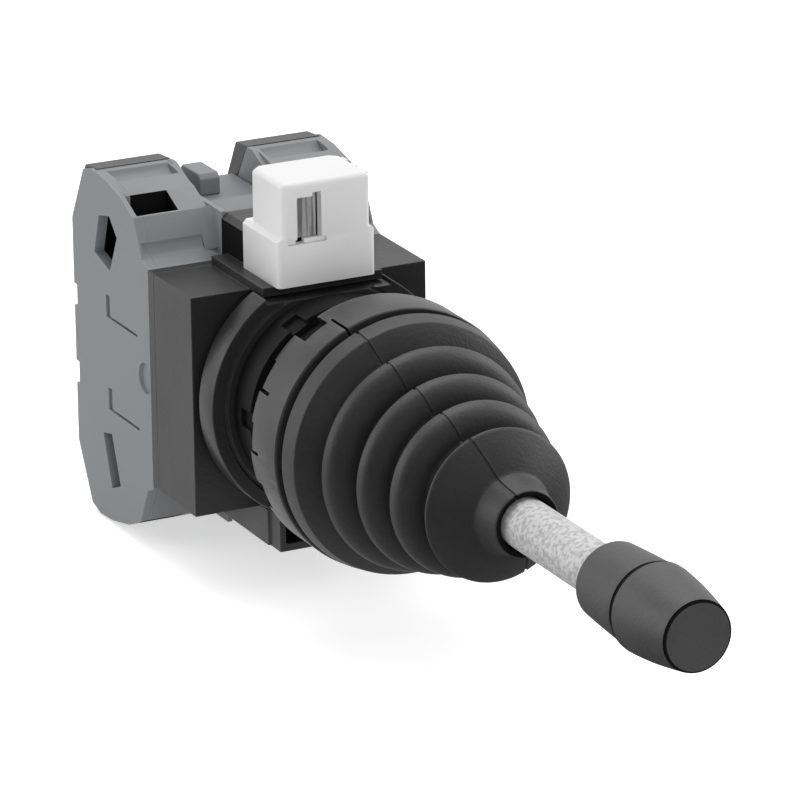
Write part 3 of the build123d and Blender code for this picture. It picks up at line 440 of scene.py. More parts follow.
# The knob's edge colour is darker than the knob: painted shade along its edges.
knob_plastic = moulded("knob_plastic", grey(0.055), 0.5, spread=0.4, grain=2500.0, depth=0.06,
                       edge=grey(0.02), amount=0.6, strength=0.8)
boot_rubber = moulded("boot_rubber", grey(0.020), 0.5, spread=0.45, grain=2400.0, depth=0.055,
                      edge=grey(0.07), amount=0.5, specular=0.6, strength=0.8)
gasket_rubber = moulded("gasket_rubber", grey(0.03), 0.7, spread=0.2)
# Near black and dull: painted shade for mouths, grooves, cuts, openings and gaps where shadow falls.
inner_black = moulded("inner_black", grey(0.006), 0.8, specular=0.1)
shaded_black = moulded("shaded_black", grey(0.009), 0.6, spread=0.3, grain=2600.0, depth=0.04,
                       specular=0.18)
print("plastics:", sum(m.name.endswith("plastic") for m in bpy.data.materials))

# %% Metal
METAL_BUMP, METAL_BUMP_STRENGTH = 0.02, 0.4
SPECK_WIDTH = 0.14
BAND_FROM, BAND_TO = 0.46, 0.60
STREAK_GLOSS = 0.35


def metal(name, colour, roughness, speck=0.25, grain=1500.0, stretch=(1.0, 1.0, 1.0),
          dark=0.35, metallic=1.0, banded=0.0, speck_scale=1400.0, speck_from=0.56):
    """Turned or drawn metal: streaks along one direction and small dark specks. banded says how
    much the streaks darken the colour too."""
    material = bpy.data.materials.new(name)
    material.use_nodes = True
    tree = material.node_tree
    shader = tree.nodes["Principled BSDF"]
    shader.inputs["Metallic"].default_value = metallic
    where = tree.nodes.new("ShaderNodeTexCoord")
    mapping = tree.nodes.new("ShaderNodeMapping")
    mapping.inputs["Scale"].default_value = stretch
    wire(tree, where.outputs["Object"], mapping.inputs["Vector"])
    streak = tree.nodes.new("ShaderNodeTexNoise")
    streak.inputs["Scale"].default_value = grain
    streak.inputs["Detail"].default_value = 4.0
    wire(tree, mapping.outputs["Vector"], streak.inputs["Vector"])
    specks = tree.nodes.new("ShaderNodeTexNoise")
    specks.inputs["Scale"].default_value = speck_scale
    specks.inputs["Detail"].default_value = 5.0
    wire(tree, where.outputs["Object"], specks.inputs["Vector"])
    ramp = tree.nodes.new("ShaderNodeMapRange")
    ramp.inputs["From Min"].default_value = speck_from
    ramp.inputs["From Max"].default_value = speck_from + SPECK_WIDTH
    wire(tree, specks.outputs["Fac"], ramp.inputs["Value"])
    spots = math_node(tree, "MULTIPLY", ramp.outputs["Result"], speck, clamp=True)
    bands = tree.nodes.new("ShaderNodeMapRange")
    bands.inputs["From Min"].default_value = BAND_FROM
    bands.inputs["From Max"].default_value = BAND_TO
    bands.inputs["To Max"].default_value = banded
    wire(tree, streak.outputs["Fac"], bands.inputs["Value"])
    darker = tuple(c * dark for c in colour[:3]) + (1.0,)
    shaded = math_node(tree, "MAXIMUM", spots, bands.outputs["Result"])
    wire(tree, colour_mix(tree, shaded, colour, darker), shader.inputs["Base Color"])
    streaked = math_node(tree, "MULTIPLY", math_node(tree, "SUBTRACT", streak.outputs["Fac"], 0.5),
                         STREAK_GLOSS)
    wire(tree, math_node(tree, "ADD", streaked, roughness, clamp=True),
         shader.inputs["Roughness"])
    bump = tree.nodes.new("ShaderNodeBump")
    bump.inputs["Strength"].default_value = METAL_BUMP_STRENGTH
    bump.inputs["Distance"].default_value = METAL_BUMP * MM
    wire(tree, streak.outputs["Fac"], bump.inputs["Height"])
    wire(tree, bump.outputs["Normal"], shader.inputs["Normal"])
    return material


shaft_steel = metal("shaft_steel", (0.58, 0.58, 0.58, 1.0), 0.48, speck=0.65, metallic=0.25,
                    stretch=(0.25, 4.0, 0.25), grain=700.0, dark=0.5, speck_scale=1900.0,
                    speck_from=0.45)
leaf_steel = metal("leaf_steel", (0.50, 0.50, 0.50, 1.0), 0.4, speck=0.3, metallic=0.3,
                   stretch=(3.0, 3.0, 0.15), grain=700.0, banded=0.9)
plated_steel = metal("plated_steel", (0.66, 0.66, 0.64, 1.0), 0.35)
spring_steel = metal("spring_steel", (0.6, 0.6, 0.6, 1.0), 0.3)
brass = metal("brass", (0.78, 0.6, 0.28, 1.0), 0.32)
print("materials:", len(bpy.data.materials))

# %% Give each solid its finish
finish_of = {
    "boot_rubber": boot_rubber, "gasket_rubber": gasket_rubber, "knob_plastic": knob_plastic,
    "black_plastic": black_plastic, "grey_plastic": grey_plastic,
    "dark_grey_plastic": dark_grey_plastic, "white_plastic": white_plastic,
    "rod_plastic": rod_plastic, "shaft_steel": shaft_steel, "plated_steel": plated_steel,
    "spring_steel": spring_steel, "brass": brass,
}
slot_of = {part["node"]: part["material_slot"] for part in frame["record"]["subparts"]}


def dress(piece, material):
    """Gives the whole piece one material."""
    piece.data.materials.clear()
    piece.data.materials.append(material)


for name, node in nodes.items():
    dress(node, finish_of[slot_of[name]])
dress(nodes["bezel_ring"], bezel_plastic)
dress(nodes["lock_leaf"], leaf_steel)
# The ring nut, barrel and gasket lie in shade behind the bezel. shaded_black is a darker, duller black that
# paints this shade.
for name in ("ring_nut", "threaded_barrel", "panel_gasket"):
    dress(nodes[name], shaded_black)
print("dressed", len(nodes), "solids")

# %% [markdown]
# ## Making shapes
# Two helpers make most pieces. The first turns a profile round the lever's axis, as a lathe or a
# round mould does. The second takes a solid of the CAD model, joins its loose triangles again
# and rounds its edges, because a moulded edge is never knife sharp and its small round catches
# the light.

# %% Helper: finish a mesh
TURNED_WELD = 1e-7
TURNED_SHARP_DEG = 38.0


def new_piece(name, points, faces, material):
    """An object from points in millimetres. Faces are smooth but for edges past an angle."""
    mesh = bpy.data.meshes.new(name)
    mesh.from_pydata([tuple(c * MM for c in p) for p in points], [], faces)
    work = bmesh.new()
    work.from_mesh(mesh)
    bmesh.ops.remove_doubles(work, verts=work.verts, dist=TURNED_WELD)
    bmesh.ops.recalc_face_normals(work, faces=work.faces)
    if work.calc_volume(signed=True) < 0:
        bmesh.ops.reverse_faces(work, faces=work.faces)
    work.to_mesh(mesh)
    work.free()
    mesh.shade_smooth()
    mesh.set_sharp_from_angle(angle=math.radians(TURNED_SHARP_DEG))
    piece = bpy.data.objects.new(name, mesh)
    bpy.context.scene.collection.objects.link(piece)
    mesh.materials.append(material)
    return piece


def paint(piece, material, chosen):
    """Gives the faces for which chosen(centre in mm, normal) is true a second material."""
    piece.data.materials.append(material)
    index = len(piece.data.materials) - 1
    count = 0
    for face in piece.data.polygons:
        if chosen(Vector(face.center) / MM, face.normal):
            face.material_index = index
            count += 1
    return count


print("new_piece and paint are ready")

# %% Helper: lathe
SEAM_REACH = {0: 0.0, 1: 0.45, 2: 1.0}
SEAM_CLEAR_DEG = 7.5


def profile_normals(outline):
    """The outward direction at each (radius, y) point of a profile that runs towards the lever."""
    normals = []
    for i, (radius, y) in enumerate(outline):
        r0, y0 = outline[max(i - 1, 0)]
        r1, y1 = outline[min(i + 1, len(outline) - 1)]
        along = Vector((r1 - r0, y1 - y0))
        normals.append(Vector((-along.y, along.x)).normalized())
    return normals


def lathe(name, outer, inner, material, columns=192, seams=(), seam_depth=0.0, seam_half=0.0):
    """A body turned round the Y axis. outer and inner are profiles of (radius, y) that run towards
    -Y. A seam is an angle where the outer side has a narrow groove along its profile, and no
    other columns stand close to it."""
    angles = [("plain", a * 360.0 / columns) for a in range(columns)]
    angles = [(kind, a) for kind, a in angles
              if all(abs((a - s + 180) % 360 - 180) > SEAM_CLEAR_DEG for s in seams)]
    for s in seams:
        angles += [(step, s) for step in (-2, -1, 0, 1, 2)]
    order = sorted(angles, key=lambda item: (item[1], 0 if item[0] == "plain" else item[0]))
    normals = profile_normals(outer)
    rings = []
    for (radius, y), normal in zip(outer, normals):
        ring = []
        for kind, angle in order:
            r_here, y_here, a = radius, y, math.radians(angle)
            if kind != "plain":
                reach = SEAM_REACH[abs(kind)] * (1 if kind > 0 else -1)
                a += reach * seam_half / max(radius, 0.5)
                if abs(kind) < 2:
                    r_here -= seam_depth * normal.x
                    y_here -= seam_depth * normal.y
            ring.append((r_here * math.cos(a), y_here, r_here * math.sin(a)))
        rings.append(ring)
    for radius, y in reversed(inner):
        rings.append([(radius * math.cos(math.radians(a)), y, radius * math.sin(math.radians(a)))
                      for _, a in order])
    count = len(order)
    points = [p for ring in rings for p in ring]
    faces = []
    loops = len(rings)
    for i in range(loops):
        j = (i + 1) % loops
        for k in range(count):
            n = (k + 1) % count
            faces.append((i * count + k, i * count + n, j * count + n, j * count + k))
    return new_piece(name, points, faces, material)


print("lathe is ready")

# %% Helper: round the edges of a solid
FLAT, CURVED, ROUND = 0, 1, 2
CURVED_FROM_DEG, CURVED_TO_DEG = 1.5, 30.0
SOLID_WELD, SAME_PLANE_DEG = 2e-6, 1.0
ROUND_FROM_DEG, ROUND_STEPS = 35.0, 2
SOLID_SHARP_DEG = 30.0


def is_curved(face):
    """Whether a face belongs to a curved surface, because a neighbour leans a little from it."""
    for edge in face.edges:
        if len(edge.link_faces) == 2:
            lean = math.degrees(edge.calc_face_angle(0.0))
            if CURVED_FROM_DEG < lean < CURVED_TO_DEG:
                return True
    return False


def softened(node, width):
    """A copy of a CAD solid with rounded edges. It takes the solid's place."""
    source = nodes[node]
    mesh = source.data.copy()
    mesh.name = node + "_soft"
    work = bmesh.new()
    work.from_mesh(mesh)
    bmesh.ops.remove_doubles(work, verts=work.verts, dist=SOLID_WELD)
    bmesh.ops.dissolve_limit(work, angle_limit=math.radians(SAME_PLANE_DEG), verts=work.verts,
                             edges=work.edges)
    bmesh.ops.recalc_face_normals(work, faces=work.faces)
    for face in work.faces:
        face.material_index = CURVED if is_curved(face) else FLAT
    work.to_mesh(mesh)
    work.free()
    finish = mesh.materials[0]
    for _ in (CURVED, ROUND):
        mesh.materials.append(finish)
    piece = bpy.data.objects.new(mesh.name, mesh)
    bpy.context.scene.collection.objects.link(piece)
    bevel = piece.modifiers.new("round", "BEVEL")
    bevel.width = width * MM
    bevel.segments = ROUND_STEPS
    bevel.limit_method = "ANGLE"
    bevel.angle_limit = math.radians(ROUND_FROM_DEG)
    bevel.use_clamp_overlap = True
    bevel.miter_outer = "MITER_ARC"
    bevel.material = ROUND
    bpy.context.view_layer.update()
    baked = bpy.data.meshes.new_from_object(piece.evaluated_get(
        bpy.context.evaluated_depsgraph_get()))
    piece.modifiers.clear()
    piece.data = baked
    baked.shade_smooth()
    baked.set_sharp_from_angle(angle=math.radians(SOLID_SHARP_DEG))
    for face in baked.polygons:
        face.use_smooth = face.material_index != FLAT
        face.material_index = 0
    baked.materials.clear()
    baked.materials.append(finish)
    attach(piece, body_of(source)[0])
    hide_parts(node)
    return piece


print("softened is ready")

# %% [markdown]
# ## The rubber boot
# The boot closes the gap between the lever and the bezel, so it has to bend with the lever in two
# directions. It is a moulded bellows: every fold has a crisp rear rim and a round front, and the
# mould left a fine line along it. It is turned in two halves that meet at the bottom of a fold,
# because each half then bends across one joint only.

# %% Boot: profile
FOLD_CRESTS = ((14.77, -10.6), (13.15, -14.5), (11.6, -20.1), (10.2, -25.5), (8.9, -31.4))
FOLD_DEPTHS = (1.2, 1.75, 1.7, 1.7)
BOOT_SPLIT_Y, SPLIT_GAP = -17.9, 0.3
BOOT_SEAMS = (112.1, 292.1)
SEAM_DEPTH, SEAM_HALF = 0.2, 0.2
FRONT_STEPS, FRONT_FROM_DEG, FRONT_TO_DEG = 9, 8.0, 90.0
FRONT_SHARE = 0.42
REAR_SLOPE = 0.62


def fold_front(crest, valley_radius, reach):
    """The round front of a fold, from its rim down to its valley."""
    radius, y = crest
    points = []
    for s in range(1, FRONT_STEPS + 1):
        t = math.radians(FRONT_FROM_DEG + (FRONT_TO_DEG - FRONT_FROM_DEG) * s / FRONT_STEPS)
        points.append((valley_radius + (radius - valley_radius) * math.cos(t),
                       y - reach * math.sin(t)))
    return points


outer = [(14.48, -7.42), (14.48, -8.22), (14.55, -8.3), (15.14, -8.3), (15.21, -8.34),
         (15.23, -8.42), (14.84, -10.42), (14.82, -10.52)]
valleys = []
for i, (crest, after) in enumerate(zip(FOLD_CRESTS, FOLD_CRESTS[1:])):
    pitch = crest[1] - after[1]
    valley_radius = after[0] - FOLD_DEPTHS[i]
    reach = FRONT_SHARE * pitch
    if i == 0:
        outer += [crest, (crest[0] - 0.09, crest[1] - 0.09), (crest[0] - 1.2, crest[1] - 0.75)]
        outer += [(valley_radius + 0.3, crest[1] - reach + 0.12), (valley_radius, crest[1] - reach)]
    else:
        outer += [(crest[0] - 0.05, crest[1] + 0.30), (crest[0], crest[1] + 0.15),
                  (crest[0] - 0.01, crest[1])]
        outer += fold_front(crest, valley_radius, reach)
    rear_start = after[1] + REAR_SLOPE * FOLD_DEPTHS[i]
    valleys.append((valley_radius, (crest[1] - reach + rear_start) / 2))
    outer.append((valley_radius, valleys[-1][1]))
    outer.append((valley_radius + 0.05, rear_start + 0.12))
    outer.append((valley_radius + 0.22, rear_start - 0.10))
    outer.append((after[0] - 0.28, after[1] + 0.36))
last = FOLD_CRESTS[-1]
outer += [(last[0] - 0.05, last[1] + 0.20), (last[0], last[1] + 0.05),
          (last[0] - 0.03, last[1] - 0.12),
          (8.62, -31.75), (7.9, -32.4), (7.0, -33.1), (6.1, -33.75), (5.3, -34.3), (4.95, -34.5),
          (4.72, -34.66), (4.56, -34.95), (4.38, -35.6), (4.12, -36.9), (3.93, -38.0),
          (3.87, -38.25), (3.76, -38.38), (3.62, -38.42)]
print("boot profile:", len(outer), "points, valleys at y",
      [round(y, 2) for radius, y in valleys])

# %% Boot: two halves
def boot_inner(points):
    """The inner side of the boot's wall: a plainer line that keeps about a millimetre of rubber."""
    return [(radius - inset, y) for radius, y, inset in points]


split_at = next(i for i, p in enumerate(outer) if p[1] < BOOT_SPLIT_Y)
valley_split = (valleys[1][0], BOOT_SPLIT_Y)
rear_outer = [p for p in outer[:split_at] if p[1] > BOOT_SPLIT_Y + SPLIT_GAP] + [valley_split]
front_outer = [valley_split] + [p for p in outer[split_at:] if p[1] < BOOT_SPLIT_Y - SPLIT_GAP]
rear_inner = [(13.5, -7.42), (13.5, -6.4), (12.0, -6.4), (12.0, -7.4)]
rear_inner += boot_inner([(14.77, -10.7, 1.1), (valleys[0][0], valleys[0][1], 0.95),
                          (13.15, -14.7, 1.1), (valleys[1][0], -16.6, 0.95),
                          (valleys[1][0], BOOT_SPLIT_Y, 0.95)])
front_inner = boot_inner([(valleys[1][0], BOOT_SPLIT_Y, 0.95), (11.6, -20.3, 1.1),
                          (valleys[2][0], valleys[2][1], 0.95), (10.2, -25.7, 1.1),
                          (valleys[3][0], valleys[3][1], 0.95), (8.9, -31.6, 1.1),
                          (5.1, -33.9, 1.2), (4.3, -34.8, 1.0), (4.2, -38.2, 1.0)])
boot_rear = lathe("boot_rear_half", rear_outer, rear_inner, boot_rubber, seams=BOOT_SEAMS,
                  seam_depth=SEAM_DEPTH, seam_half=SEAM_HALF)
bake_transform(boot_rear, "switch", "gimbal", start=(0, -0.0104, 0), end=(0, BOOT_SPLIT_Y * MM, 0))
boot_front = lathe("boot_front_half", front_outer, front_inner, boot_rubber, seams=BOOT_SEAMS,
                   seam_depth=SEAM_DEPTH, seam_half=SEAM_HALF)
MOUTH_RADIUS, MOUTH_REAR_Y = 3.75, -37.0
# Painted shade: the inside of the boot's mouth is near black, for the shadow in the gap round the lever.
mouth = paint(boot_front, inner_black, lambda centre, normal:
              centre.y < MOUTH_REAR_Y and math.hypot(centre.x, centre.z) < MOUTH_RADIUS)
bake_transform(boot_front, "gimbal", "lever", start=(0, BOOT_SPLIT_Y * MM, 0), end=(0, -0.031, 0))
for half in (boot_rear, boot_front):
    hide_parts("rubber_boot")
print("boot faces:", len(boot_rear.data.polygons) + len(boot_front.data.polygons),
      "dark ones in its mouth:", mouth)

# %% [markdown]
# ## The knob
# The knob is a hard moulded grip screwed on the lever. Its rear part is nearly straight, a fine
# groove marks its widest place, and the front tapers in a soft curve to a flat tip with a fine
# cut round it. It is turned too, with the groove and the cut as real cuts. Their faces, and the lip
# just in front of the groove, carry painted shade that draws them as black lines.

# %% Knob
KNOB_REAR_Y, KNOB_RIDGE_Y, KNOB_TIP_Y = -57.8, -66.5, -76.4
REAR_RADIUS, REAR_EDGE, REAR_GROWTH, REAR_BULGE = 4.5, 0.45, 0.45, 0.03
REAR_STEPS, FRONT_CURVE_STEPS = 8, 12
FRONT_RADIUS, TIP_RADIUS, FRONT_BULGE, BULGE_SHIFT = 5.2, 4.02, 0.16, 0.9
SHAFT_HOLE, INSERT_HOLE = 2.95, 3.56
HOLE_STEP, HOLE_DEPTH = 1.7, 12.2
knob_outer = [(SHAFT_HOLE, KNOB_REAR_Y), (4.3, KNOB_REAR_Y), (4.42, KNOB_REAR_Y - 0.04),
              (4.47, KNOB_REAR_Y - 0.14), (REAR_RADIUS, KNOB_REAR_Y - REAR_EDGE)]
for s in range(1, REAR_STEPS + 1):
    t = s / REAR_STEPS
    knob_outer.append((REAR_RADIUS + REAR_GROWTH * t + REAR_BULGE * math.sin(math.pi * t),
                       KNOB_REAR_Y - REAR_EDGE
                       + (KNOB_RIDGE_Y + 0.35 - KNOB_REAR_Y + REAR_EDGE) * t))
knob_outer += [(4.93, KNOB_RIDGE_Y + 0.3), (4.70, KNOB_RIDGE_Y + 0.24),
               (4.70, KNOB_RIDGE_Y - 0.2), (5.14, KNOB_RIDGE_Y - 0.26),
               (5.18, KNOB_RIDGE_Y - 0.36), (FRONT_RADIUS, KNOB_RIDGE_Y - 0.7)]
front_start = Vector((FRONT_RADIUS, KNOB_RIDGE_Y - 0.7))
front_end = Vector((TIP_RADIUS, KNOB_TIP_Y + 0.32))
for s in range(1, FRONT_CURVE_STEPS + 1):
    t = s / FRONT_CURVE_STEPS
    bulge = FRONT_BULGE * math.sin(math.pi * t ** BULGE_SHIFT)
    knob_outer.append((front_start.x + (front_end.x - front_start.x) * t + bulge,
                       front_start.y + (front_end.y - front_start.y) * t))
knob_outer += [(3.86, KNOB_TIP_Y + 0.25), (3.85, KNOB_TIP_Y + 0.12), (3.94, KNOB_TIP_Y + 0.07),
               (3.88, KNOB_TIP_Y + 0.01), (3.74, KNOB_TIP_Y), (0.0, KNOB_TIP_Y)]
knob_inner = [(SHAFT_HOLE, KNOB_REAR_Y - HOLE_STEP), (INSERT_HOLE, KNOB_REAR_Y - HOLE_STEP),
              (INSERT_HOLE, KNOB_REAR_Y - HOLE_DEPTH), (0.0, KNOB_REAR_Y - HOLE_DEPTH)]
knob = lathe("knob_grip", knob_outer, knob_inner, knob_plastic, columns=160)
RIM_INSIDE, RIM_LENGTH = 3.8, 0.29
LINE_FRONT_Y, LINE_REAR_Y = KNOB_RIDGE_Y - 0.69, KNOB_RIDGE_Y + 0.28
# Painted shade: the faces of the groove, the lip just in front of it and the cut round the tip are near
# black, for their shade.
lines = paint(knob, inner_black, lambda centre, normal:
              math.hypot(centre.x, centre.z) > RIM_INSIDE
              and (LINE_FRONT_Y < centre.y < LINE_REAR_Y or centre.y < KNOB_TIP_Y + RIM_LENGTH))
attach(knob, "lever")
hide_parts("knob")
print("knob faces:", len(knob.data.polygons), "in its two lines:", lines)

# %% [markdown]
# ## Moulded and pressed pieces
# These pieces keep the exact form of their solids. Only their edges are rounded, more on the
# thick housing and less on the thin side plates.

# %% Rounded solids
EDGE_ROUNDS = {
    "housing": 0.3, "housing_back": 0.2, "lower_channel": 0.2, "lock_ring": 0.2,
    "bezel_ring": 0.1, "safety_lock": 0.18, "lock_clip": 0.15, "lock_leaf": 0.06,
    "locking_lever": 0.2, "left_block_casing": 0.12, "right_block_casing": 0.12,
    "left_block_cover": 0.14, "right_block_cover": 0.14, "left_block_lids": 0.2,
    "right_block_lids": 0.2, "centre_block_casing": 0.2, "centre_hook": 0.15,
    "centre_terminals": 0.1, "ring_nut": 0.2,
}
rounded = [softened(node, width) for node, width in EDGE_ROUNDS.items()]
print("rounded solids:", len(rounded), "faces:", sum(len(p.data.polygons) for p in rounded))

# %% [markdown]
# ## Painted shade in openings and cuts
# On the blocks the lids sit on a black layer that shows as a thin line all round them. Their sides
# are black plastic, and their front faces get painted shade that darkens this line. The insides of
# the wire openings, the sides of the housing's raised middle and the cuts of the bezel get painted
# shade too, for the shadow that falls in them. All this is a matter of colour, so the faces
# concerned get a second material, chosen by where they lie and which way they look.

# %% Second colours: painted shade
BLOCK_MIDDLE_Z = -1.05
LID_SIDE_X, LID_FRONT_Y = 0.5, -0.6
SIDEWAYS = 0.9
POCKET_Y, POCKET_Z = (32.0, 45.0), (5.0, 20.0)
POCKET_REACH = 8.4
POCKET_SLOPE, POCKET_START = 0.28, 36.5
HUMP_SIDE, HUMP_FOOT_Z = 6.0, 13.0
CUT_RADII = (13.9, 15.2)
BEZEL_FACE_Y = -6.7
soft = {piece.name[:-len("_soft")]: piece for piece in rounded}
for side in ("left", "right"):
    # The lids' sides get black plastic for the black layer under them. Their front faces get painted shade
    # that darkens its line.
    edges = paint(soft[side + "_block_lids"], black_plastic,
                  lambda centre, normal: abs(normal.x) > LID_SIDE_X)
    edges += paint(soft[side + "_block_lids"], inner_black,
                   lambda centre, normal: normal.y < LID_FRONT_Y)
    low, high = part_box(side + "_block_casing")
    block_side = max(abs(low.x), abs(high.x)) / MM
    # Painted shade: the insides of the wire openings are near black, for the shadow in them.
    inside = paint(soft[side + "_block_casing"], inner_black,
                   lambda centre, normal: POCKET_Y[0] < centre.y < POCKET_Y[1]
                   and POCKET_Z[0] < abs(centre.z - BLOCK_MIDDLE_Z) < POCKET_Z[1]
                   and block_side - POCKET_REACH < abs(centre.x) < block_side + 0.1
                   and abs(normal.z) < SIDEWAYS
                   and centre.y + abs(centre.z - BLOCK_MIDDLE_Z) * POCKET_SLOPE > POCKET_START)
    print(side, "lids' dark faces:", edges, "inside:", inside)
# Painted shadow: the sides of the housing's raised middle lie in the blocks' shadow and are near black.
sides = 0
for name in ("housing", "housing_back"):
    low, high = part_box(name)
    sides += paint(soft[name], inner_black,
                   lambda centre, normal: abs(normal.x) > SIDEWAYS
                   and abs(centre.x) < HUMP_SIDE and HUMP_FOOT_Z < centre.z < high.z / MM)
# Painted shade: the faces of the bezel's cuts are near black, for the shade inside them.
recess = paint(soft["bezel_ring"], inner_black,
               lambda centre, normal:
               CUT_RADII[0] < math.hypot(centre.x, centre.z) < CUT_RADII[1]
               and centre.y > BEZEL_FACE_Y)
print("dark faces of the hump:", sides, "of the bezel's cuts:", recess)

# %% [markdown]
# ## Springs and screws
# Four wound springs return the rods, and four screws hold the back plate. A spring is a round wire
# along a spiral, and the screws are one screw set at four places, so Geometry Nodes make both:
# their sizes are named inputs, and one tree serves all four bodies.

# %% Geometry Nodes helpers
def new_nodes(name, numbers):
    """A Geometry Nodes tree with named number inputs and a material input."""
    tree = bpy.data.node_groups.new(name, "GeometryNodeTree")
    tree.interface.new_socket("Geometry", in_out="INPUT", socket_type="NodeSocketGeometry")
    for label in numbers:
        tree.interface.new_socket(label, in_out="INPUT", socket_type="NodeSocketFloat")
    tree.interface.new_socket("Material", in_out="INPUT", socket_type="NodeSocketMaterial")
    tree.interface.new_socket("Geometry", in_out="OUTPUT", socket_type="NodeSocketGeometry")
    return tree, tree.nodes.new("NodeGroupInput"), tree.nodes.new("NodeGroupOutput")


def finish_nodes(tree, source, start, end):
    """Ends a tree in Realize Instances and Set Material."""
    real = tree.nodes.new("GeometryNodeRealizeInstances")
    coat = tree.nodes.new("GeometryNodeSetMaterial")
    wire(tree, source, real.inputs["Geometry"])
    wire(tree, real.outputs["Geometry"], coat.inputs["Geometry"])
    wire(tree, start.outputs["Material"], coat.inputs["Material"])
    wire(tree, coat.outputs["Geometry"], end.inputs["Geometry"])


def grown(name, tree, base, values, material):
    """Runs a tree on a base mesh and keeps the result as a plain mesh."""
    piece = bpy.data.objects.new(name, base)
    bpy.context.scene.collection.objects.link(piece)
    modifier = piece.modifiers.new("nodes", "NODES")
    modifier.node_group = tree
    for item in tree.interface.items_tree:
        if item.in_out == "INPUT" and item.name in values:
            modifier[item.identifier] = values[item.name]
        elif item.in_out == "INPUT" and item.name == "Material":
            modifier[item.identifier] = material
    bpy.context.view_layer.update()
    mesh = bpy.data.meshes.new_from_object(
        piece.evaluated_get(bpy.context.evaluated_depsgraph_get()))
    piece.modifiers.clear()
    piece.data = mesh
    mesh.name = name
    mesh.shade_smooth()
    mesh.set_sharp_from_angle(angle=math.radians(35.0))
    return piece


print("helpers for Geometry Nodes are ready")

# %% Springs
COIL_STEPS, WIRE_SIDES = 36, 12
WIRE_RADIUS, TURNS = 0.2, 4.5
spring_nodes, spring_in, spring_out = new_nodes(
    "wound_spring", ("Coil Radius", "Wire Radius", "Length", "Turns", "X", "Y", "Z"))
spiral = spring_nodes.nodes.new("GeometryNodeCurveSpiral")
spiral.inputs["Resolution"].default_value = COIL_STEPS
for label, socket in (("Coil Radius", "Start Radius"), ("Coil Radius", "End Radius"),
                      ("Length", "Height"), ("Turns", "Rotations")):
    wire(spring_nodes, spring_in.outputs[label], spiral.inputs[socket])
section = spring_nodes.nodes.new("GeometryNodeCurvePrimitiveCircle")
section.inputs["Resolution"].default_value = WIRE_SIDES
wire(spring_nodes, spring_in.outputs["Wire Radius"], section.inputs["Radius"])
sweep = spring_nodes.nodes.new("GeometryNodeCurveToMesh")
sweep.inputs["Fill Caps"].default_value = True
wire(spring_nodes, spiral.outputs["Curve"], sweep.inputs["Curve"])
wire(spring_nodes, section.outputs["Curve"], sweep.inputs["Profile Curve"])
stand = spring_nodes.nodes.new("GeometryNodeTransform")
stand.inputs["Rotation"].default_value = (math.radians(-90.0), 0.0, 0.0)
spot = spring_nodes.nodes.new("ShaderNodeCombineXYZ")
for axis in "XYZ":
    wire(spring_nodes, spring_in.outputs[axis], spot.inputs[axis])
wire(spring_nodes, spot.outputs["Vector"], stand.inputs["Translation"])
wire(spring_nodes, sweep.outputs["Mesh"], stand.inputs["Geometry"])
finish_nodes(spring_nodes, stand.outputs["Geometry"], spring_in, spring_out)

springs = []
for name in ("left", "right", "up", "down"):
    node = "return_spring_" + name
    low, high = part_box(node)
    middle = (low + high) / 2
    coil = (high.x - low.x) / 2 - WIRE_RADIUS * MM
    sizes = {"Coil Radius": coil, "Wire Radius": WIRE_RADIUS * MM, "Turns": TURNS,
             "Length": high.y - low.y - 2 * WIRE_RADIUS * MM, "X": middle.x,
             "Y": low.y + WIRE_RADIUS * MM, "Z": middle.z}
    spring = grown("coil_" + name, spring_nodes, bpy.data.meshes.new("spring_base"), sizes,
                   spring_steel)
    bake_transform(spring, "push_" + name, "switch", start=(middle.x, low.y, middle.z),
             end=(middle.x, high.y, middle.z))
    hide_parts(node)
    springs.append(spring)
print("springs:", len(springs), "faces each:", len(springs[0].data.polygons))

# %% Housing screws
HEAD_RADIUS, HEAD_HEIGHT, SHANK_RADIUS = 1.65, 0.85, 0.95
HEAD_TAPER = 0.86
SHANK_SIDES, HEAD_SIDES = 24, 36
SLOT_LENGTH, SLOT_WIDTH, SLOT_DEPTH = 0.0018, 0.0004, 0.0011
screw_nodes, screw_in, screw_out = new_nodes(
    "screw_set", ("Head Radius", "Head Height", "Shank Radius", "Shank Length"))
points = screw_nodes.nodes.new("GeometryNodeMeshToPoints")
wire(screw_nodes, screw_in.outputs["Geometry"], points.inputs["Mesh"])
shank = screw_nodes.nodes.new("GeometryNodeMeshCylinder")
shank.inputs["Vertices"].default_value = SHANK_SIDES
head = screw_nodes.nodes.new("GeometryNodeMeshCone")
head.inputs["Vertices"].default_value = HEAD_SIDES
taper = screw_nodes.nodes.new("ShaderNodeMath")
taper.operation = "MULTIPLY"
taper.inputs[1].default_value = HEAD_TAPER
wire(screw_nodes, screw_in.outputs["Head Radius"], taper.inputs[0])
wire(screw_nodes, taper.outputs["Value"], head.inputs["Radius Top"])
wire(screw_nodes, screw_in.outputs["Head Radius"], head.inputs["Radius Bottom"])
wire(screw_nodes, screw_in.outputs["Head Height"], head.inputs["Depth"])
wire(screw_nodes, screw_in.outputs["Shank Radius"], shank.inputs["Radius"])
wire(screw_nodes, screw_in.outputs["Shank Length"], shank.inputs["Depth"])
lower = screw_nodes.nodes.new("GeometryNodeTransform")
drop = screw_nodes.nodes.new("ShaderNodeMath")
drop.operation = "MULTIPLY"
drop.inputs[1].default_value = -0.5
wire(screw_nodes, screw_in.outputs["Shank Length"], drop.inputs[0])
drop_by = screw_nodes.nodes.new("ShaderNodeCombineXYZ")
wire(screw_nodes, drop.outputs["Value"], drop_by.inputs["Z"])
wire(screw_nodes, drop_by.outputs["Vector"], lower.inputs["Translation"])
wire(screw_nodes, shank.outputs["Mesh"], lower.inputs["Geometry"])
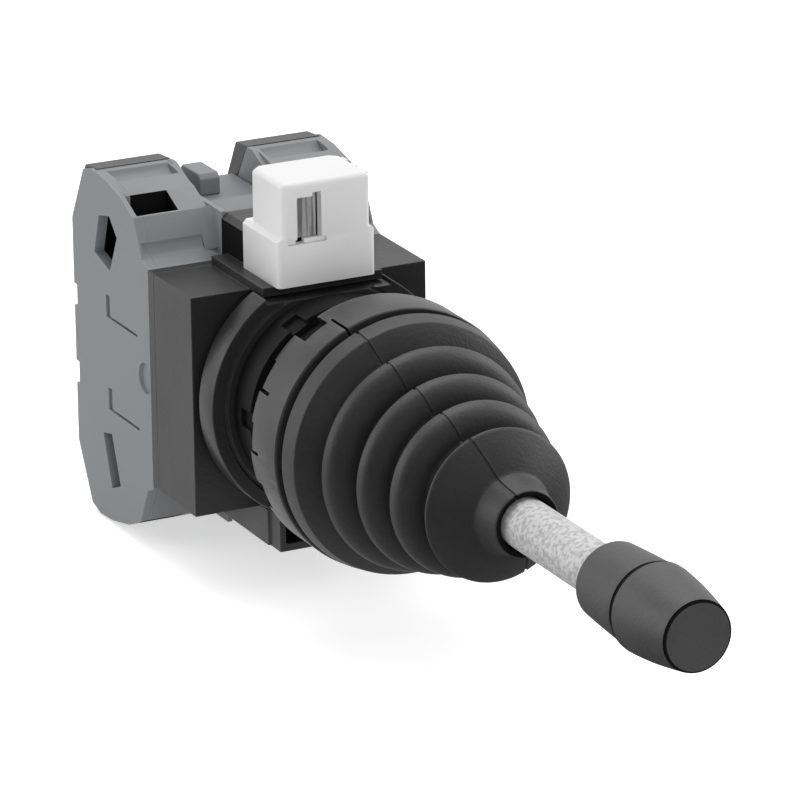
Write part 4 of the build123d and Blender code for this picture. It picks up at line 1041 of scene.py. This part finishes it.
whole = screw_nodes.nodes.new("GeometryNodeMeshBoolean")
whole.operation = "UNION"
wire(screw_nodes, head.outputs["Mesh"], whole.inputs["Mesh 2"])
wire(screw_nodes, lower.outputs["Geometry"], whole.inputs["Mesh 2"])
cross = screw_nodes.nodes.new("GeometryNodeMeshBoolean")
cross.operation = "DIFFERENCE"
wire(screw_nodes, whole.outputs["Mesh"], cross.inputs["Mesh 1"])
for size in ((SLOT_LENGTH, SLOT_WIDTH, SLOT_DEPTH), (SLOT_WIDTH, SLOT_LENGTH, SLOT_DEPTH)):
    bar = screw_nodes.nodes.new("GeometryNodeMeshCube")
    bar.inputs["Size"].default_value = size
    lift_bar = screw_nodes.nodes.new("GeometryNodeTransform")
    raise_by = screw_nodes.nodes.new("ShaderNodeCombineXYZ")
    wire(screw_nodes, screw_in.outputs["Head Height"], raise_by.inputs["Z"])
    wire(screw_nodes, raise_by.outputs["Vector"], lift_bar.inputs["Translation"])
    wire(screw_nodes, bar.outputs["Mesh"], lift_bar.inputs["Geometry"])
    wire(screw_nodes, lift_bar.outputs["Geometry"], cross.inputs["Mesh 2"])
turn_over = screw_nodes.nodes.new("GeometryNodeTransform")
turn_over.inputs["Rotation"].default_value = (math.radians(-90.0), 0.0, 0.0)
wire(screw_nodes, cross.outputs["Mesh"], turn_over.inputs["Geometry"])
each = screw_nodes.nodes.new("GeometryNodeInstanceOnPoints")
wire(screw_nodes, points.outputs["Points"], each.inputs["Points"])
wire(screw_nodes, turn_over.outputs["Geometry"], each.inputs["Instance"])
finish_nodes(screw_nodes, each.outputs["Instances"], screw_in, screw_out)

low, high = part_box("housing_screws")
inset = HEAD_RADIUS * MM
head_y = high.y - HEAD_HEIGHT * MM
corners = [(x, head_y, z) for x in (low.x + inset, high.x - inset)
           for z in (low.z + inset, high.z - inset)]
corner_mesh = bpy.data.meshes.new("screw_corners")
corner_mesh.from_pydata(corners, [], [])
sizes = {"Head Radius": HEAD_RADIUS * MM, "Head Height": HEAD_HEIGHT * MM,
         "Shank Radius": SHANK_RADIUS * MM, "Shank Length": head_y - low.y}
screws = grown("back_plate_screws", screw_nodes, corner_mesh, sizes, plated_steel)
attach(screws, "switch")
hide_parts("housing_screws")
print("screw faces:", len(screws.data.polygons))
